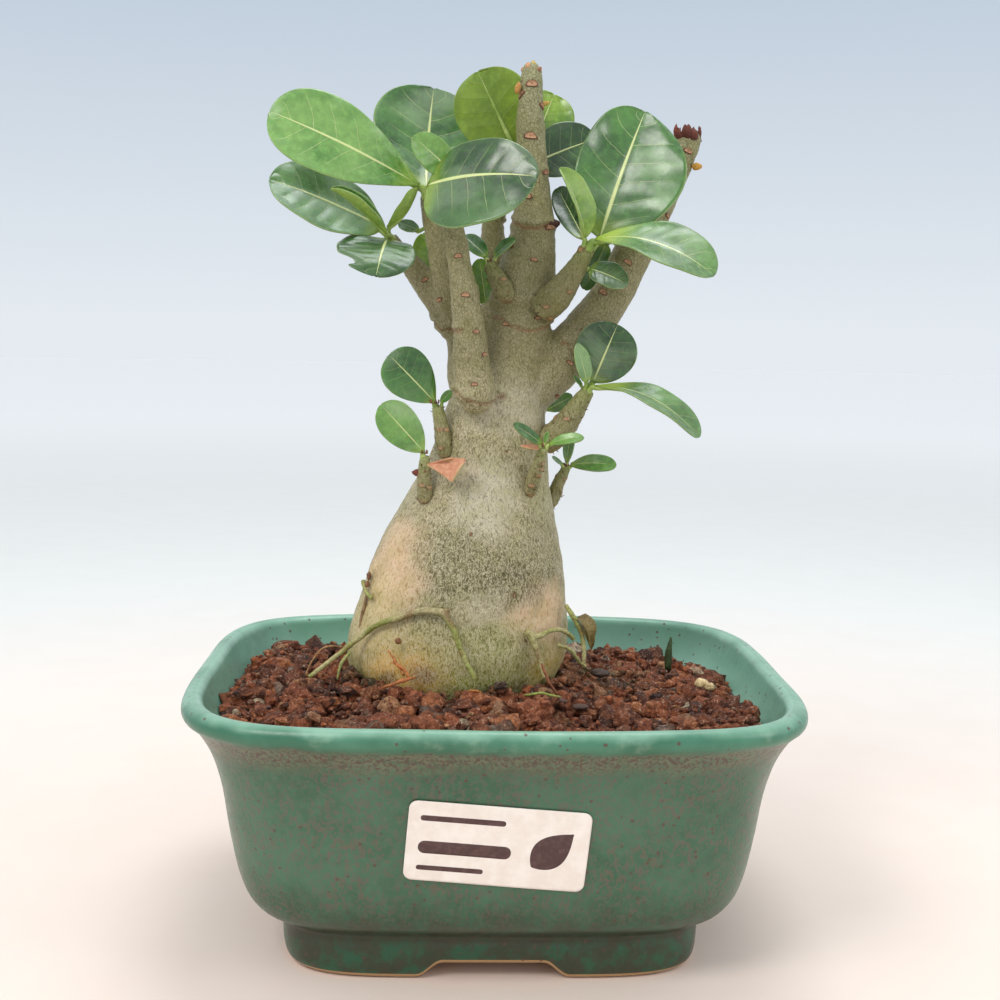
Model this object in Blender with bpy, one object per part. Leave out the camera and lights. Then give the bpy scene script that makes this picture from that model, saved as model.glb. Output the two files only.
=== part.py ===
# Potted desert rose (adenium): a swollen trunk with cut-back branches, young shoots and
# loose glossy leaves, planted in a glazed rounded-square bowl of coarse red-brown soil.
#
# Frame: +Z up, the bowl's front faces -Y, origin at the centre of the bowl's underside.
# Lengths are in millimetres and become metres when a mesh is made.
import math

import bpy
import bmesh
from mathutils import Vector, noise

MM = 0.001

# Driving dimensions
POT_WIDTH = 165.0
POT_DEPTH = 140.0
POT_HEIGHT = 72.0
LIP_RADIUS = 2.8
FRONT_FOOT_GAP = (30.0, 4.0)
SIDE_FOOT_GAP = (25.0, 3.6)
DRAIN_RADIUS = 6.0
DRAIN_SPACING = 52.0
LABEL_WIDTH = 45.0
LABEL_HEIGHT = 21.5
LEAF_THICKNESS = 0.6
CLEARANCE = 0.35

DEPTH_RATIO = POT_DEPTH / POT_WIDTH
RIM_EXPONENT = 4.5
FOOT_EXPONENT = 5.5
POT_SEGMENTS = 36

# Outer wall as (height, width), from the rounded foot up to the underside of the lip.
OUTER_WALL = [(0, 109), (1.5, 112), (11, 113), (13, 111.5), (14.5, 119), (17, 126.5),
              (22, 133), (29, 137.5), (38, 141), (48, 144.5), (56, 149), (61, 153.5),
              (65, 158.5)]
INNER_WALL = [(62, 148), (54, 138.5), (40, 130), (24, 122), (15, 112), (12, 104)]
FLOOR_HEIGHT = INNER_WALL[-1][0]

# Trunk and leader as (x, y, z, half width, half depth).
TRUNK = [(-10, 10, 46, 22, 20), (-10.5, 10, 60, 26.5, 24), (-10.4, 10, 70, 31, 28),
         (-9.6, 10, 77, 32, 28.8), (-8.6, 10, 87, 30.4, 27.4), (-7.2, 10, 100, 27.6, 25),
         (-5.4, 10, 112, 23.6, 21.5), (-3.6, 10, 122, 19.7, 18), (-1.2, 9.5, 133, 16.4, 15.2),
         (0.2, 9, 144, 14.3, 13.2), (2, 8, 154, 12.6, 11.6), (5.8, 7, 166, 9.3, 8.9),
         (7.8, 6, 181, 8.6, 8.2), (9.6, 6, 196, 6.2, 6), (8.9, 6, 211, 4.6, 4.6),
         (8.2, 6, 226, 3.8, 3.8), (8.1, 6, 237, 3.2, 3.2)]

# Old wood that grew as one piece with the trunk, each path as (x, y, z, radius).
OLD_BRANCHES = {
    "right": [(10, 8, 150, 7), (17, 8, 157, 7.4), (25, 8, 166.5, 6.6), (33, 8, 178, 5.8),
              (38.5, 8, 190, 5.6), (46, 8, 206, 4.6), (52.2, 8, 218.5, 3.9), (53.2, 8, 220.5, 3.4)],
    "left_front": [(-5.6, -3.4, 146.6, 3.8), (-6.2, -5.8, 149, 5.4), (-7.2, -6.8, 157, 5), (-8, -7.5, 167, 4.4),
                   (-10.4, -8, 181, 3.6), (-12.8, -8, 193, 2.8), (-15.2, -7, 200, 2.4),
                   (-17.2, -5.6, 204.5, 2.1)],
    "left_old": [(-3, 9, 146, 5), (-7.5, 11, 152, 6.2), (-8.4, 12, 160, 5.4), (-9.5, 12, 168, 5.2)],
    "left_back": [(-10.6, 12, 166, 5), (-12.6, 12, 170, 5.6), (-17.5, 11, 176, 4.4),
                  (-24, 9.5, 184, 3.2), (-30.6, 6.5, 192, 2.2)],
    "left_inner": [(-13.5, 9, 171, 3), (-14.8, 6, 176.5, 3.2), (-16.6, 4.5, 187, 3.3),
                   (-18.6, 3.6, 198.5, 3), (-20, 3, 204, 2.3)],
    "back": [(5, 12, 162, 4), (4.5, 18, 170, 4.6), (2.6, 21.5, 178, 4.2), (-1.2, 22, 194, 3.5),
             (0.5, 19, 204, 2.8), (4.2, 16, 213, 2.1)],
}

# Young shoots, each its own stem out of the old wood, as (x, y, z, radius).
SHOOTS = {
    "shoot_top_right": [(12, 0, 173, 4.6), (16, -2.6, 176.5, 4.4), (20.4, -4, 183, 3),
                        (24.2, -4.8, 189.8, 2)],
    "shoot_centre": [(4, 1, 175.5, 3), (1, -1, 178.5, 2.9), (-1.6, 0.2, 183, 2.1), (-2.4, 1, 185.2, 1.6)],
    "shoot_left_upper": [(-11, 2, 131, 2.6), (-14, 0, 132.6, 2.6), (-15.2, -0.6, 139, 2.2),
                         (-16.5, -1.2, 145.4, 1.5)],
    "shoot_left_lower": [(-17.5, 1, 118.4, 2.3), (-19.5, -2.6, 120, 2.3), (-19.9, -4, 126, 1.9),
                         (-19.8, -4.6, 131.6, 1.3)],
    "shoot_right": [(14, 4, 135.5, 4), (18, 2.4, 138.4, 3.9), (22.2, 1.6, 144.6, 3), (25.8, 1, 150.6, 1.8)],
    "shoot_front_right": [(8, 1, 121.4, 2.4), (9.8, -3.4, 122.8, 2.3), (11.2, -6.4, 128.8, 1.8),
                          (12.9, -9, 134.8, 1.2)],
    "shoot_back_right": [(13.4, 13, 114.8, 2.4), (17.2, 14, 117.6, 2.2), (19.2, 14, 122.6, 1.8),
                         (21.4, 14, 127.2, 1.3)],
}

# Surface roots, as one or more paths of (x, y, z, radius) that share a knot.
ROOTS = {
    "root_front_left": [
        [(-12.6, -20, 90.4, 1.5), (-19, -17, 90.6, 1.3), (-25.6, -14, 88, 1.2), (-32, -9, 84.6, 1.1),
         (-38, -8, 80.2, 1.1), (-44, -10, 75.6, 1), (-51, -13, 70.6, 0.9)],
        [(-14, -20, 90.6, 1.3), (-11, -21, 85.6, 1.2), (-8.6, -22, 79.4, 1.1), (-5.2, -24, 73.2, 1)]],
    "root_front_right": [
        [(8.6, -15, 84.4, 1.2), (12, -14, 83, 1.2), (16, -11, 84.2, 1), (19.8, -8, 83.4, 1),
         (23, -5.5, 80.4, 1)],
        [(9, -15, 84.8, 1.3), (11.4, -14.6, 80.4, 1.2), (13, -15, 76, 1.1), (14.2, -16, 71.8, 1)]],
    "root_right": [
        [(20.8, -1, 89.6, 0.9), (22.4, -3, 87, 1.1), (24.6, -3.6, 83.4, 1.1), (25.8, -4, 79, 1),
         (26.2, -5, 72, 0.9)]],
    "root_left": [
        [(-37, 1, 95.6, 0.9), (-36, -1, 92.8, 0.9), (-33.4, -5, 91.4, 0.8)]],
}

# Leaves: base, tip, full width, the way the upper face looks, fold of each half (degrees),
# arch over the length (share of length) and how far along the widest place lies.
LEAVES = {
    "leaf_left_large": ((-22.6, 0, 205), (-62, -8, 220.5), 27.5, (0.2, -0.93, 0.3), 6, 0.05, 0.68),
    "leaf_left_low": ((-33.2, 5.2, 194.6), (-62.8, -5, 206), 23, (-0.05, -0.75, 0.65), 8, 0.03, 0.56),
    "leaf_left_folded": ((-31.6, 1.4, 195.4), (-47.5, -6, 207.6), 7, (0.5, -0.5, 0.7), 70, 0.04, 0.6),
    "leaf_left_notched": ((-31, 2, 190.4), (-33.4, -13.4, 180.6), 19, (0.1, -0.55, 0.85), 4, 0.12, 0.6),
    "leaf_left_edge": ((-28.6, 4.6, 194.4), (-24.4, -2.6, 202.6), 7, (-0.8, 0.3, 0.3), 60, -0.1, 0.6),
    "leaf_back_dark": ((-20.6, 6.8, 205.6), (-19, 25, 236), 30, (0.2, -0.85, 0.4), 8, -0.08, 0.62),
    "leaf_small_light": ((-13, -5.2, 208.6), (-24, -10, 217.6), 9.5, (0.2, -0.95, 0.2), 8, 0.03, 0.52),
    "leaf_front_large": ((-19.8, -8, 203.6), (8, -26, 203.2), 27, (0.2, -0.93, 0.35), 5, 0.09, 0.5),
    "leaf_top_backlit": ((5.6, 15.4, 215.2), (-6.6, 12.6, 239), 23, (-0.1, 0.95, 0.2), 10, -0.05, 0.6),
    "leaf_behind_leader": ((8.4, 15.6, 213.6), (28, 19, 222), 16, (-0.1, -0.95, 0.2), 6, 0.05, 0.55),
    "leaf_top_bright": ((8.2, 18.4, 215.2), (16, 24, 235), 18, (0.2, -0.8, 0.5), 14, 0, 0.6),
    "leaf_right_large": ((27, -2.6, 192.4), (37.6, 3, 228), 31, (-0.25, -0.93, 0.2), 6, 0.05, 0.56),
    "leaf_lime_folded": ((23, -6.4, 192.4), (15.4, -9.6, 210.4), 10, (0.5, -0.75, 0.3), 42, 0.06, 0.5),
    "leaf_right_drooping": ((25.8, -7.2, 191.6), (55.4, -24, 182), 18.5, (0.3, -0.72, 0.62), 12, 0.13, 0.66),
    "leaf_small_dark": ((24.8, -3.4, 184), (35, -6, 179.8), 8.4, (0.1, -0.85, 0.5), 10, 0.05, 0.5),
    "leaf_dark_inner": ((23.6, 0.2, 192.2), (17, 15, 207.4), 8, (-0.3, -0.9, 0.3), 15, 0, 0.55),
    "leaf_centre_right": ((-1.2, 0.4, 187), (4.2, -4.4, 191.6), 4, (0.1, -0.8, 0.6), 20, 0.05, 0.5),
    "leaf_centre_left": ((-3.6, 2, 186.8), (-10, 6, 192.6), 6, (0.2, -0.8, 0.5), 15, 0.05, 0.55),
    "leaf_back_hanging": ((-13.6, 18, 175), (-21.6, 19, 194), 11, (-0.2, -0.95, 0.1), 10, 0.03, 0.55),
    "leaf_back_yellow": ((-2.8, 16, 173.6), (-5, 15.5, 187), 7, (-0.2, -0.95, 0.1), 10, 0, 0.55),
    "leaf_left_bit": ((-22.6, 7, 194), (-28, 10, 196.4), 4.4, (0.1, -0.8, 0.6), 10, 0, 0.55),
    "leaf_low_back": ((31.4, 14, 192), (25.6, 17, 179), 7, (-0.2, -0.95, 0.1), 10, 0, 0.5),
    "leaf_upper_shoot": ((-17.2, -1.6, 146.4), (-30, -5, 159.4), 14, (0.15, -0.97, 0.1), 5, 0.03, 0.66),
    "leaf_upper_shoot_small": ((-15.5, -1.8, 146.6), (-12.6, -5, 149.8), 2.6, (0.1, -0.9, 0.4), 15, 0, 0.55),
    "leaf_lower_shoot": ((-20.2, -5, 132.8), (-32, -8, 145.8), 11, (0.2, -0.95, 0.1), 6, 0.03, 0.62),
    "leaf_right_round": ((27.2, 1.2, 152.8), (33.2, -2, 168.8), 17.5, (-0.15, -0.95, 0.1), 6, 0.04, 0.58),
    "leaf_right_lime": ((25, -1.2, 152.8), (21.8, -3.6, 163.4), 5, (0.2, -0.9, 0.1), 25, 0.04, 0.5),
    "leaf_right_long": ((27.6, -1.4, 151.6), (54.8, -14, 138.8), 12, (0.3, -0.5, 0.8), 15, 0.13, 0.66),
    "leaf_right_curl": ((23.9, 1.6, 151.8), (21.4, 0, 154.4), 1.6, (0.1, -0.9, 0.4), 30, 0, 0.5),
    "leaf_right_dark": ((15.6, 17, 143.8), (23, 18.4, 147.8), 5, (-0.1, -0.95, 0.2), 10, 0, 0.55),
    "leaf_front_left": ((12, -9.8, 136), (4.2, -14, 141.6), 3.4, (0.2, -0.9, 0.4), 12, 0.04, 0.55),
    "leaf_front_right": ((14.4, -9.6, 135.8), (23.4, -13.4, 138), 3.5, (0, -0.8, 0.6), 12, 0.1, 0.6),
    "leaf_front_tip": ((13.2, -8.9, 136.3), (13.8, -9.6, 139.4), 1.6, (0.1, -0.9, 0.1), 20, 0, 0.5),
    "bract_front": ((11.4, -9.6, 134.8), (6.4, -11.6, 135.4), 1.8, (0, -0.7, 0.7), 10, 0, 0.3),
    "leaf_back_right": ((22.6, 13.4, 128), (35.4, 9.6, 128.4), 5.6, (0, -0.85, 0.5), 10, 0.1, 0.6),
    "leaf_back_upright": ((21.6, 15.3, 128.6), (22.8, 17.4, 139), 3.6, (-0.3, -0.9, 0), 15, 0, 0.55),
    "leaf_back_tip": ((20, 12.6, 128.2), (17, 11.6, 130.6), 1.4, (0, -0.8, 0.5), 15, 0, 0.5),
    "leaf_dry": ((-17.2, -8, 130.6), (-8.6, -9.8, 129.6), 6, (0.1, -0.95, 0.2), 25, -0.1, 0.6),
}
YOUNG_LEAVES = {"leaf_lime_folded", "leaf_right_lime", "leaf_top_backlit", "leaf_top_bright",
                "leaf_small_light", "leaf_back_hanging", "leaf_back_yellow", "leaf_lower_shoot",
                "leaf_upper_shoot", "leaf_front_tip", "leaf_back_tip", "leaf_back_right"}
BROWN_LEAVES = {"leaf_dry", "bract_front"}


def clear_scene():
    for item in list(bpy.data.objects):
        bpy.data.objects.remove(item, do_unlink=True)


def make_material(name, colour, roughness, metallic=0.0):
    material = bpy.data.materials.new(name)
    material.use_nodes = True
    shader = material.node_tree.nodes["Principled BSDF"]
    shader.inputs["Base Color"].default_value = (*colour, 1.0)
    shader.inputs["Roughness"].default_value = roughness
    shader.inputs["Metallic"].default_value = metallic
    return material


def make_object(name, bm, material):
    # The bmesh is in millimetres; the object's mesh is in metres with its faces pointing out.
    bmesh.ops.scale(bm, vec=(MM, MM, MM), verts=bm.verts)
    mesh = bpy.data.meshes.new(name)
    bm.to_mesh(mesh)
    bm.free()
    mesh.shade_smooth()
    mesh.set_sharp_from_angle(angle=math.radians(40))
    mesh.materials.append(material)
    item = bpy.data.objects.new(name, mesh)
    bpy.context.scene.collection.objects.link(item)
    return item


def make_guide(item):
    # A guide only shapes another object, so it is never part of the model itself.
    item.hide_render = True
    item.display_type = "WIRE"
    return item


def add_boolean(item, other, operation):
    modifier = item.modifiers.new(operation.title(), "BOOLEAN")
    modifier.operation = operation
    modifier.solver = "EXACT"
    modifier.object = other


def interpolate(table, height):
    # Straight-line reading of a (height, value) table.
    rows = sorted(table)
    for (low, first), (high, second) in zip(rows, rows[1:]):
        if height <= high:
            share = max(0.0, (height - low) / (high - low))
            return first + (second - first) * share
    return rows[-1][1]


def exponent_at(height):
    return FOOT_EXPONENT + (RIM_EXPONENT - FOOT_EXPONENT) * min(1.0, height / POT_HEIGHT)


def superellipse_point(width, depth, exponent, angle):
    cosine, sine = math.cos(angle), math.sin(angle)
    reach = (abs(2 * cosine / width) ** exponent + abs(2 * sine / depth) ** exponent) ** (-1 / exponent)
    return reach * cosine, reach * sine


def ring_angles(count):
    # Angles round the bowl, closer together at its corners than along its sides.
    turns = [2 * math.pi * index / count for index in range(count)]
    return [turn + 0.16 * math.sin(4 * turn) for turn in turns]


def superellipse_ring(bm, width, height, exponent, inset=0.0):
    size = width - 2 * inset
    depth = width * DEPTH_RATIO - 2 * inset
    points = [superellipse_point(size, depth, exponent, angle) for angle in ring_angles(POT_SEGMENTS)]
    return [bm.verts.new((x, y, height)) for x, y in points]


def join_rings(bm, rings):
    for lower, upper in zip(rings, rings[1:]):
        count = len(lower)
        for index in range(count):
            following = (index + 1) % count
            bm.faces.new((lower[index], lower[following], upper[following], upper[index]))


def close_body(bm, rings):
    join_rings(bm, rings)
    bm.faces.new(list(reversed(rings[0])))
    bm.faces.new(rings[-1])
    bmesh.ops.recalc_face_normals(bm, faces=bm.faces)


def make_pot(material):
    bm = bmesh.new()
    rings = [superellipse_ring(bm, width, height, exponent_at(height)) for height, width in OUTER_WALL]
    lip_width = POT_WIDTH - 2 * LIP_RADIUS
    lip_height = POT_HEIGHT - LIP_RADIUS
    for degrees in (-60, -20, 20, 60, 100, 140, 180):
        across = lip_width + 2 * LIP_RADIUS * math.cos(math.radians(degrees))
        up = lip_height + LIP_RADIUS * math.sin(math.radians(degrees))
        rings.append(superellipse_ring(bm, across, up, RIM_EXPONENT))
    rings += [superellipse_ring(bm, width, height, exponent_at(height)) for height, width in INNER_WALL]
    close_body(bm, rings)
    pot = make_object("pot", bm, material)
    for direction, size in (("x", SIDE_FOOT_GAP), ("y", FRONT_FOOT_GAP)):
        add_boolean(pot, make_foot_channel(direction, size, material), "DIFFERENCE")
    for side in (-1, 1):
        add_boolean(pot, make_drain_cutter(side, material), "DIFFERENCE")
    return pot


def make_foot_channel(direction, size, material):
    # A shallow channel right under the bowl, with sloping sides and a rounded ceiling.
    # The two channels cross and leave one foot at each corner.
    bm = bmesh.new()
    width, ceiling = size
    half_top = width / 2
    half_bottom = half_top + 3.6
    outline = [(-half_bottom, -1), (half_bottom, -1), (half_top, ceiling), (-half_top, ceiling)]
    reach = POT_WIDTH / 2
    ends = []
    for along in (-reach, reach):
        places = [(along, across, up) if direction == "x" else (across, along, up) for across, up in outline]
        ends.append([bm.verts.new(place) for place in places])
    close_body(bm, ends)
    long_edges = [edge for edge in bm.edges
                  if all(abs(vert.co.z - ceiling) < 1e-6 for vert in edge.verts)
                  and edge.calc_length() > 2 * reach - 1]
    bmesh.ops.bevel(bm, geom=long_edges, offset=1.6, segments=3, affect="EDGES", profile=0.5)
    return make_guide(make_object("foot_channel_" + direction, bm, material))


def make_drain_cutter(side, material):
    bm = bmesh.new()
    height = 3 * FLOOR_HEIGHT
    bmesh.ops.create_cone(bm, cap_ends=True, segments=20, radius1=DRAIN_RADIUS, radius2=DRAIN_RADIUS,
                          depth=height)
    bmesh.ops.translate(bm, verts=bm.verts, vec=(side * DRAIN_SPACING / 2, 0, FLOOR_HEIGHT / 2))
    name = "drain_cutter_left" if side < 0 else "drain_cutter_right"
    return make_guide(make_object(name, bm, material))


def wall_front(x, height):
    # How far forward the outer wall stands at a place on the bowl's front.
    width = interpolate(OUTER_WALL, height)
    exponent = exponent_at(height)
    share = 1 - abs(2 * x / width) ** exponent
    return -width * DEPTH_RATIO / 2 * share ** (1 / exponent)


def make_label(material):
    # A paper label that follows the front wall, slightly turned, with rounded corners.
    bm = bmesh.new()
    columns, rows = 10, 5
    corner = 1.6
    thickness = 0.3
    turn = math.radians(-4.5)
    centre_x, centre_z = -0.1, 40.9
    layers = []
    for offset in (CLEARANCE, CLEARANCE + thickness):
        grid = []
        for row in range(rows + 1):
            v = LABEL_HEIGHT * (row / rows - 0.5)
            inset = corner * (1 - math.sqrt(0.5)) * 2 if row in (0, rows) else 0
            line = []
            for column in range(columns + 1):
                u = (LABEL_WIDTH - 2 * inset) * (column / columns - 0.5)
                x = centre_x + u * math.cos(turn) - v * math.sin(turn)
                z = centre_z + u * math.sin(turn) + v * math.cos(turn)
                line.append(bm.verts.new((x, wall_front(x, z) - offset, z)))
            grid.append(line)
        layers.append(grid)
    for grid in layers:
        for lower, upper in zip(grid, grid[1:]):
            for column in range(columns):
                bm.faces.new((lower[column], lower[column + 1], upper[column + 1], upper[column]))
    border = []
    for grid in layers:
        edge = grid[0] + [line[-1] for line in grid[1:-1]] + grid[-1][::-1]
        border.append(edge + [line[0] for line in grid[-2:0:-1]])
    join_rings(bm, border)
    bmesh.ops.recalc_face_normals(bm, faces=bm.faces)
    return make_object("label", bm, material)


def smooth_path(stations, steps):
    # A Catmull-Rom curve through the stations, carrying every value along with the place.
    points = [tuple(float(value) for value in station) for station in stations]
    first = tuple(2 * a - b for a, b in zip(points[0], points[1]))
    last = tuple(2 * a - b for a, b in zip(points[-1], points[-2]))
    points = [first] + points + [last]
    path = []
    for index in range(1, len(points) - 2):
        before, start, end, after = points[index - 1:index + 3]
        for step in range(steps):
            t = step / steps
            path.append(tuple(
                0.5 * (2 * s + (e - b) * t + (2 * b - 5 * s + 4 * e - a) * t * t
                       + (3 * s - b - 3 * e + a) * t ** 3)
                for b, s, e, a in zip(before, start, end, after)))
    path.append(points[-2])
    return path


def tube(bm, path, sides):
    # A round rod along a path of (x, y, z, radius), its rings square to the path.
    centres = [Vector(place[:3]) for place in path]
    across = Vector((1, 0.13, 0.07))
    rings = []
    for index, place in enumerate(path):
        ahead = centres[min(index + 1, len(path) - 1)] - centres[max(index - 1, 0)]
        ahead.normalize()
        across = (across - ahead * across.dot(ahead)).normalized()
        over = ahead.cross(across)
        ring = []
        for side in range(sides):
            angle = 2 * math.pi * side / sides
            arm = across * math.cos(angle) + over * math.sin(angle)
            ring.append(bm.verts.new(centres[index] + arm * place[3]))
        rings.append(ring)
    close_body(bm, rings)


def trunk_at(height):
    # Centre and half sizes of the trunk's level section at a height.
    rows = smooth_path(TRUNK, 4)
    for low, high in zip(rows, rows[1:]):
        if height <= high[2]:
            share = max(0.0, (height - low[2]) / (high[2] - low[2]))
            return tuple(a + (b - a) * share for a, b in zip(low, high))
    return rows[-1]


def trunk_bmesh(grow):
    # The trunk and leader as one turned body, made larger all round by grow.
    bm = bmesh.new()
    sides = 20
    rings = []
    for x, y, z, half_width, half_depth in smooth_path(TRUNK, 2):
        ring = []
        for side in range(sides):
            angle = 2 * math.pi * side / sides
            ring.append(bm.verts.new((x + (half_width + grow) * math.cos(angle),
                                      y + (half_depth + grow) * math.sin(angle), z)))
        rings.append(ring)
    bmesh.ops.translate(bm, verts=rings[0], vec=(0, 0, -grow))
    bmesh.ops.translate(bm, verts=rings[-1], vec=(0, 0, grow))
    close_body(bm, rings)
    return bm


def make_caudex(material):
    caudex = make_object("caudex", trunk_bmesh(0), material)
    for name, stations in OLD_BRANCHES.items():
        bm = bmesh.new()
        tube(bm, smooth_path(stations, 2), 10)
        add_boolean(caudex, make_guide(make_object("old_" + name, bm, material)), "UNION")
    return caudex


def clear_of_trunk(place):
    # Moves a root's point out until the root rests on the bark with a hair's gap.
    x, y, z, radius = place
    centre_x, centre_y, _, half_width, half_depth = trunk_at(z)
    arm = Vector((x - centre_x, y - centre_y))
    share = math.sqrt((arm.x / half_width) ** 2 + (arm.y / half_depth) ** 2)
    wanted = arm.length / share + radius * 1.08 + CLEARANCE
    if arm.length < wanted:
        arm *= wanted / arm.length
    return centre_x + arm.x, centre_y + arm.y, z, radius


def soil_height(x, y):
    # Mounded at the trunk, higher towards the front and the back left, gently uneven.
    from_trunk = math.hypot(x + 9, (y - 8) * 1.1)
    mound = 5.4 * math.exp(-(from_trunk / 42) ** 2)
    tilt = -0.022 * y * (1 if y < 0 else 0.3) - 0.012 * x
    ripple = 0.9 * noise.noise(Vector((x * 0.06, y * 0.06, 3.7)))
    return 63.4 + mound + tilt + ripple


def make_soil(socket, material):
    bm = bmesh.new()
    heights = [FLOOR_HEIGHT + CLEARANCE, 24, 40, 54]
    rings = [superellipse_ring(bm, interpolate(INNER_WALL, height), height, exponent_at(height),
                               inset=CLEARANCE + 0.15) for height in heights]
    for share in (1.0, 0.88, 0.72, 0.5, 0.3, 0.12):
        ring = superellipse_ring(bm, interpolate(INNER_WALL, 60) * share, 60, exponent_at(60),
                                 inset=(CLEARANCE + 0.3) * share)
        for vert in ring:
            vert.co.z = soil_height(vert.co.x, vert.co.y)
        rings.append(ring)
    close_body(bm, rings)
    soil = make_object("soil", bm, material)
    add_boolean(soil, socket, "DIFFERENCE")


def make_shoot(name, stations, socket, material):
    bm = bmesh.new()
    tube(bm, smooth_path(stations, 2), 10)
    shoot = make_object(name, bm, material)
    add_boolean(shoot, socket, "DIFFERENCE")
    return shoot


def make_root(name, paths, material):
    items = []
    for number, stations in enumerate(paths):
        path = [clear_of_trunk(place) for place in smooth_path(stations, 3)]
        path = [(x, y, max(z, soil_height(x, y) + radius + CLEARANCE), radius) for x, y, z, radius in path]
        bm = bmesh.new()
        tube(bm, path, 8)
        items.append(make_object(name if number == 0 else name + "_arm", bm, material))
    for arm in items[1:]:
        add_boolean(items[0], make_guide(arm), "UNION")
    return items[0]


def leaf_outline(share, widest):
    # Half width along a leaf, 1 at its widest place: a narrow base and a rounded tip.
    power = 0.45
    rise = power * widest / (1 - widest)
    peak = widest ** rise * (1 - widest) ** power
    return share ** rise * max(0.0, 1 - share) ** power / peak


def make_leaf(name, shape, material):
    base, tip, width, facing, fold, arch, widest = shape
    base, tip = Vector(base), Vector(tip)
    along = tip - base
    length = along.length
    along.normalize()
    facing = Vector(facing)
    facing = (facing - along * facing.dot(along)).normalized()
    side = along.cross(facing)
    rows, columns = (6, 4) if width > 12 else (5, 2) if width > 3 else (4, 2)
    lift = math.radians(fold)
    bm = bmesh.new()
    grid = []
    for row in range(rows + 1):
        share = 1 - (1 - row / rows) ** 1.5
        half = max(0.45, width / 2 * leaf_outline(share, widest))
        if row == rows:
            half = 0.16 * width / 2
        middle = base + along * length * share + facing * arch * length * 4 * share * (1 - share)
        line = []
        for column in range(columns + 1):
            reach = 2 * column / columns - 1
            arm = side * math.cos(lift) * reach + facing * math.sin(lift) * abs(reach)
            line.append(bm.verts.new(middle + arm * half))
        grid.append(line)
    for lower, upper in zip(grid, grid[1:]):
        for column in range(columns):
            bm.faces.new((lower[column], lower[column + 1], upper[column + 1], upper[column]))
    leaf = make_object(name, bm, material)
    thicken = leaf.modifiers.new("Thickness", "SOLIDIFY")
    thicken.thickness = LEAF_THICKNESS * MM
    thicken.offset = 0.0
    return leaf


def build():
    clear_scene()
    glaze = make_material("teal_glaze", (0.045, 0.2, 0.14), 0.25)
    earth = make_material("akadama_soil", (0.13, 0.045, 0.025), 0.95)
    bark = make_material("caudex_bark", (0.28, 0.27, 0.19), 0.6)
    young_bark = make_material("shoot_bark", (0.2, 0.19, 0.1), 0.6)
    root_skin = make_material("root_skin", (0.34, 0.33, 0.16), 0.55)
    mature = make_material("leaf_mature", (0.04, 0.13, 0.035), 0.28)
    young = make_material("leaf_young", (0.14, 0.33, 0.04), 0.35)
    brown = make_material("leaf_dry", (0.5, 0.2, 0.09), 0.7)
    paper = make_material("label_paper", (0.86, 0.84, 0.78), 0.5)
    make_pot(glaze)
    make_label(paper)
    socket = make_guide(make_object("trunk_socket", trunk_bmesh(CLEARANCE), bark))
    make_soil(socket, earth)
    make_caudex(bark)
    for name, stations in SHOOTS.items():
        make_shoot(name, stations, socket, young_bark)
    for name, paths in ROOTS.items():
        make_root(name, paths, root_skin)
    for name, shape in LEAVES.items():
        material = brown if name in BROWN_LEAVES else young if name in YOUNG_LEAVES else mature
        make_leaf(name, shape, material)


build()
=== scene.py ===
import math
import random

import bmesh
import bpy
import numpy as np
from mathutils import Matrix, Vector, noise
from mathutils.bvhtree import BVHTree


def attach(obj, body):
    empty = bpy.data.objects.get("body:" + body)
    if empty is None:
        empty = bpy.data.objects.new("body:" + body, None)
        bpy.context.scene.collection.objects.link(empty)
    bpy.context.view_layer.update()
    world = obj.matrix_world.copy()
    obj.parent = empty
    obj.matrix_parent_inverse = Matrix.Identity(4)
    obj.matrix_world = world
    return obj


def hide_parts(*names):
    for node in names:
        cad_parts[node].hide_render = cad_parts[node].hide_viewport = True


# Lengths are in millimetres until a mesh is finished, then in metres.
mm = 0.001
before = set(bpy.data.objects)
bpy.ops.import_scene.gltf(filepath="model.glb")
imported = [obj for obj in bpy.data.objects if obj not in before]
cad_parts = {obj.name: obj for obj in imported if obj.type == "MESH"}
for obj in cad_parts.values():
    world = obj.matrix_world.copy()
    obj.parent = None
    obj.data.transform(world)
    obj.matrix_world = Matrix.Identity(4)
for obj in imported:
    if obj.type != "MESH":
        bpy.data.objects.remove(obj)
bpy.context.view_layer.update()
scene = bpy.context.scene


def tone(red, green, blue):
    # A screen colour (0 to 255) as a linear one.
    values = []
    for part in (red, green, blue):
        share = part / 255
        values.append(share / 12.92 if share <= 0.04045 else ((share + 0.055) / 1.055) ** 2.4)
    return tuple(values)


def addObject(name, shape, *materials):
    # The shape is a mesh, or a bmesh in millimetres.
    mesh = shape
    if isinstance(shape, bmesh.types.BMesh):
        bmesh.ops.scale(shape, vec=(mm, mm, mm), verts=shape.verts)
        mesh = bpy.data.meshes.new(name)
        shape.to_mesh(mesh)
        shape.free()
        mesh.shade_smooth()
    item = bpy.data.objects.new(name, mesh)
    scene.collection.objects.link(item)
    for material in materials:
        mesh.materials.append(material)
    return item


def applyModifiers(item):
    graph = bpy.context.evaluated_depsgraph_get()
    mesh = bpy.data.meshes.new_from_object(item.evaluated_get(graph))
    item.modifiers.clear()
    item.data = mesh
    return item


def grow(item, voxel, rounds):
    # Melts a piece's parts into one skin and eases its dents.
    melted = item.modifiers.new("Grown", "REMESH")
    melted.mode = "VOXEL"
    melted.voxel_size = voxel * mm
    eased = item.modifiers.new("Eased", "SMOOTH")
    eased.factor = 0.5
    eased.iterations = rounds
    applyModifiers(item)


def thicken(item, thickness, offset=-1, underside=0):
    wall = item.modifiers.new("Thickness", "SOLIDIFY")
    wall.thickness = thickness * mm
    wall.offset = offset
    wall.material_offset = underside


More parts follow.
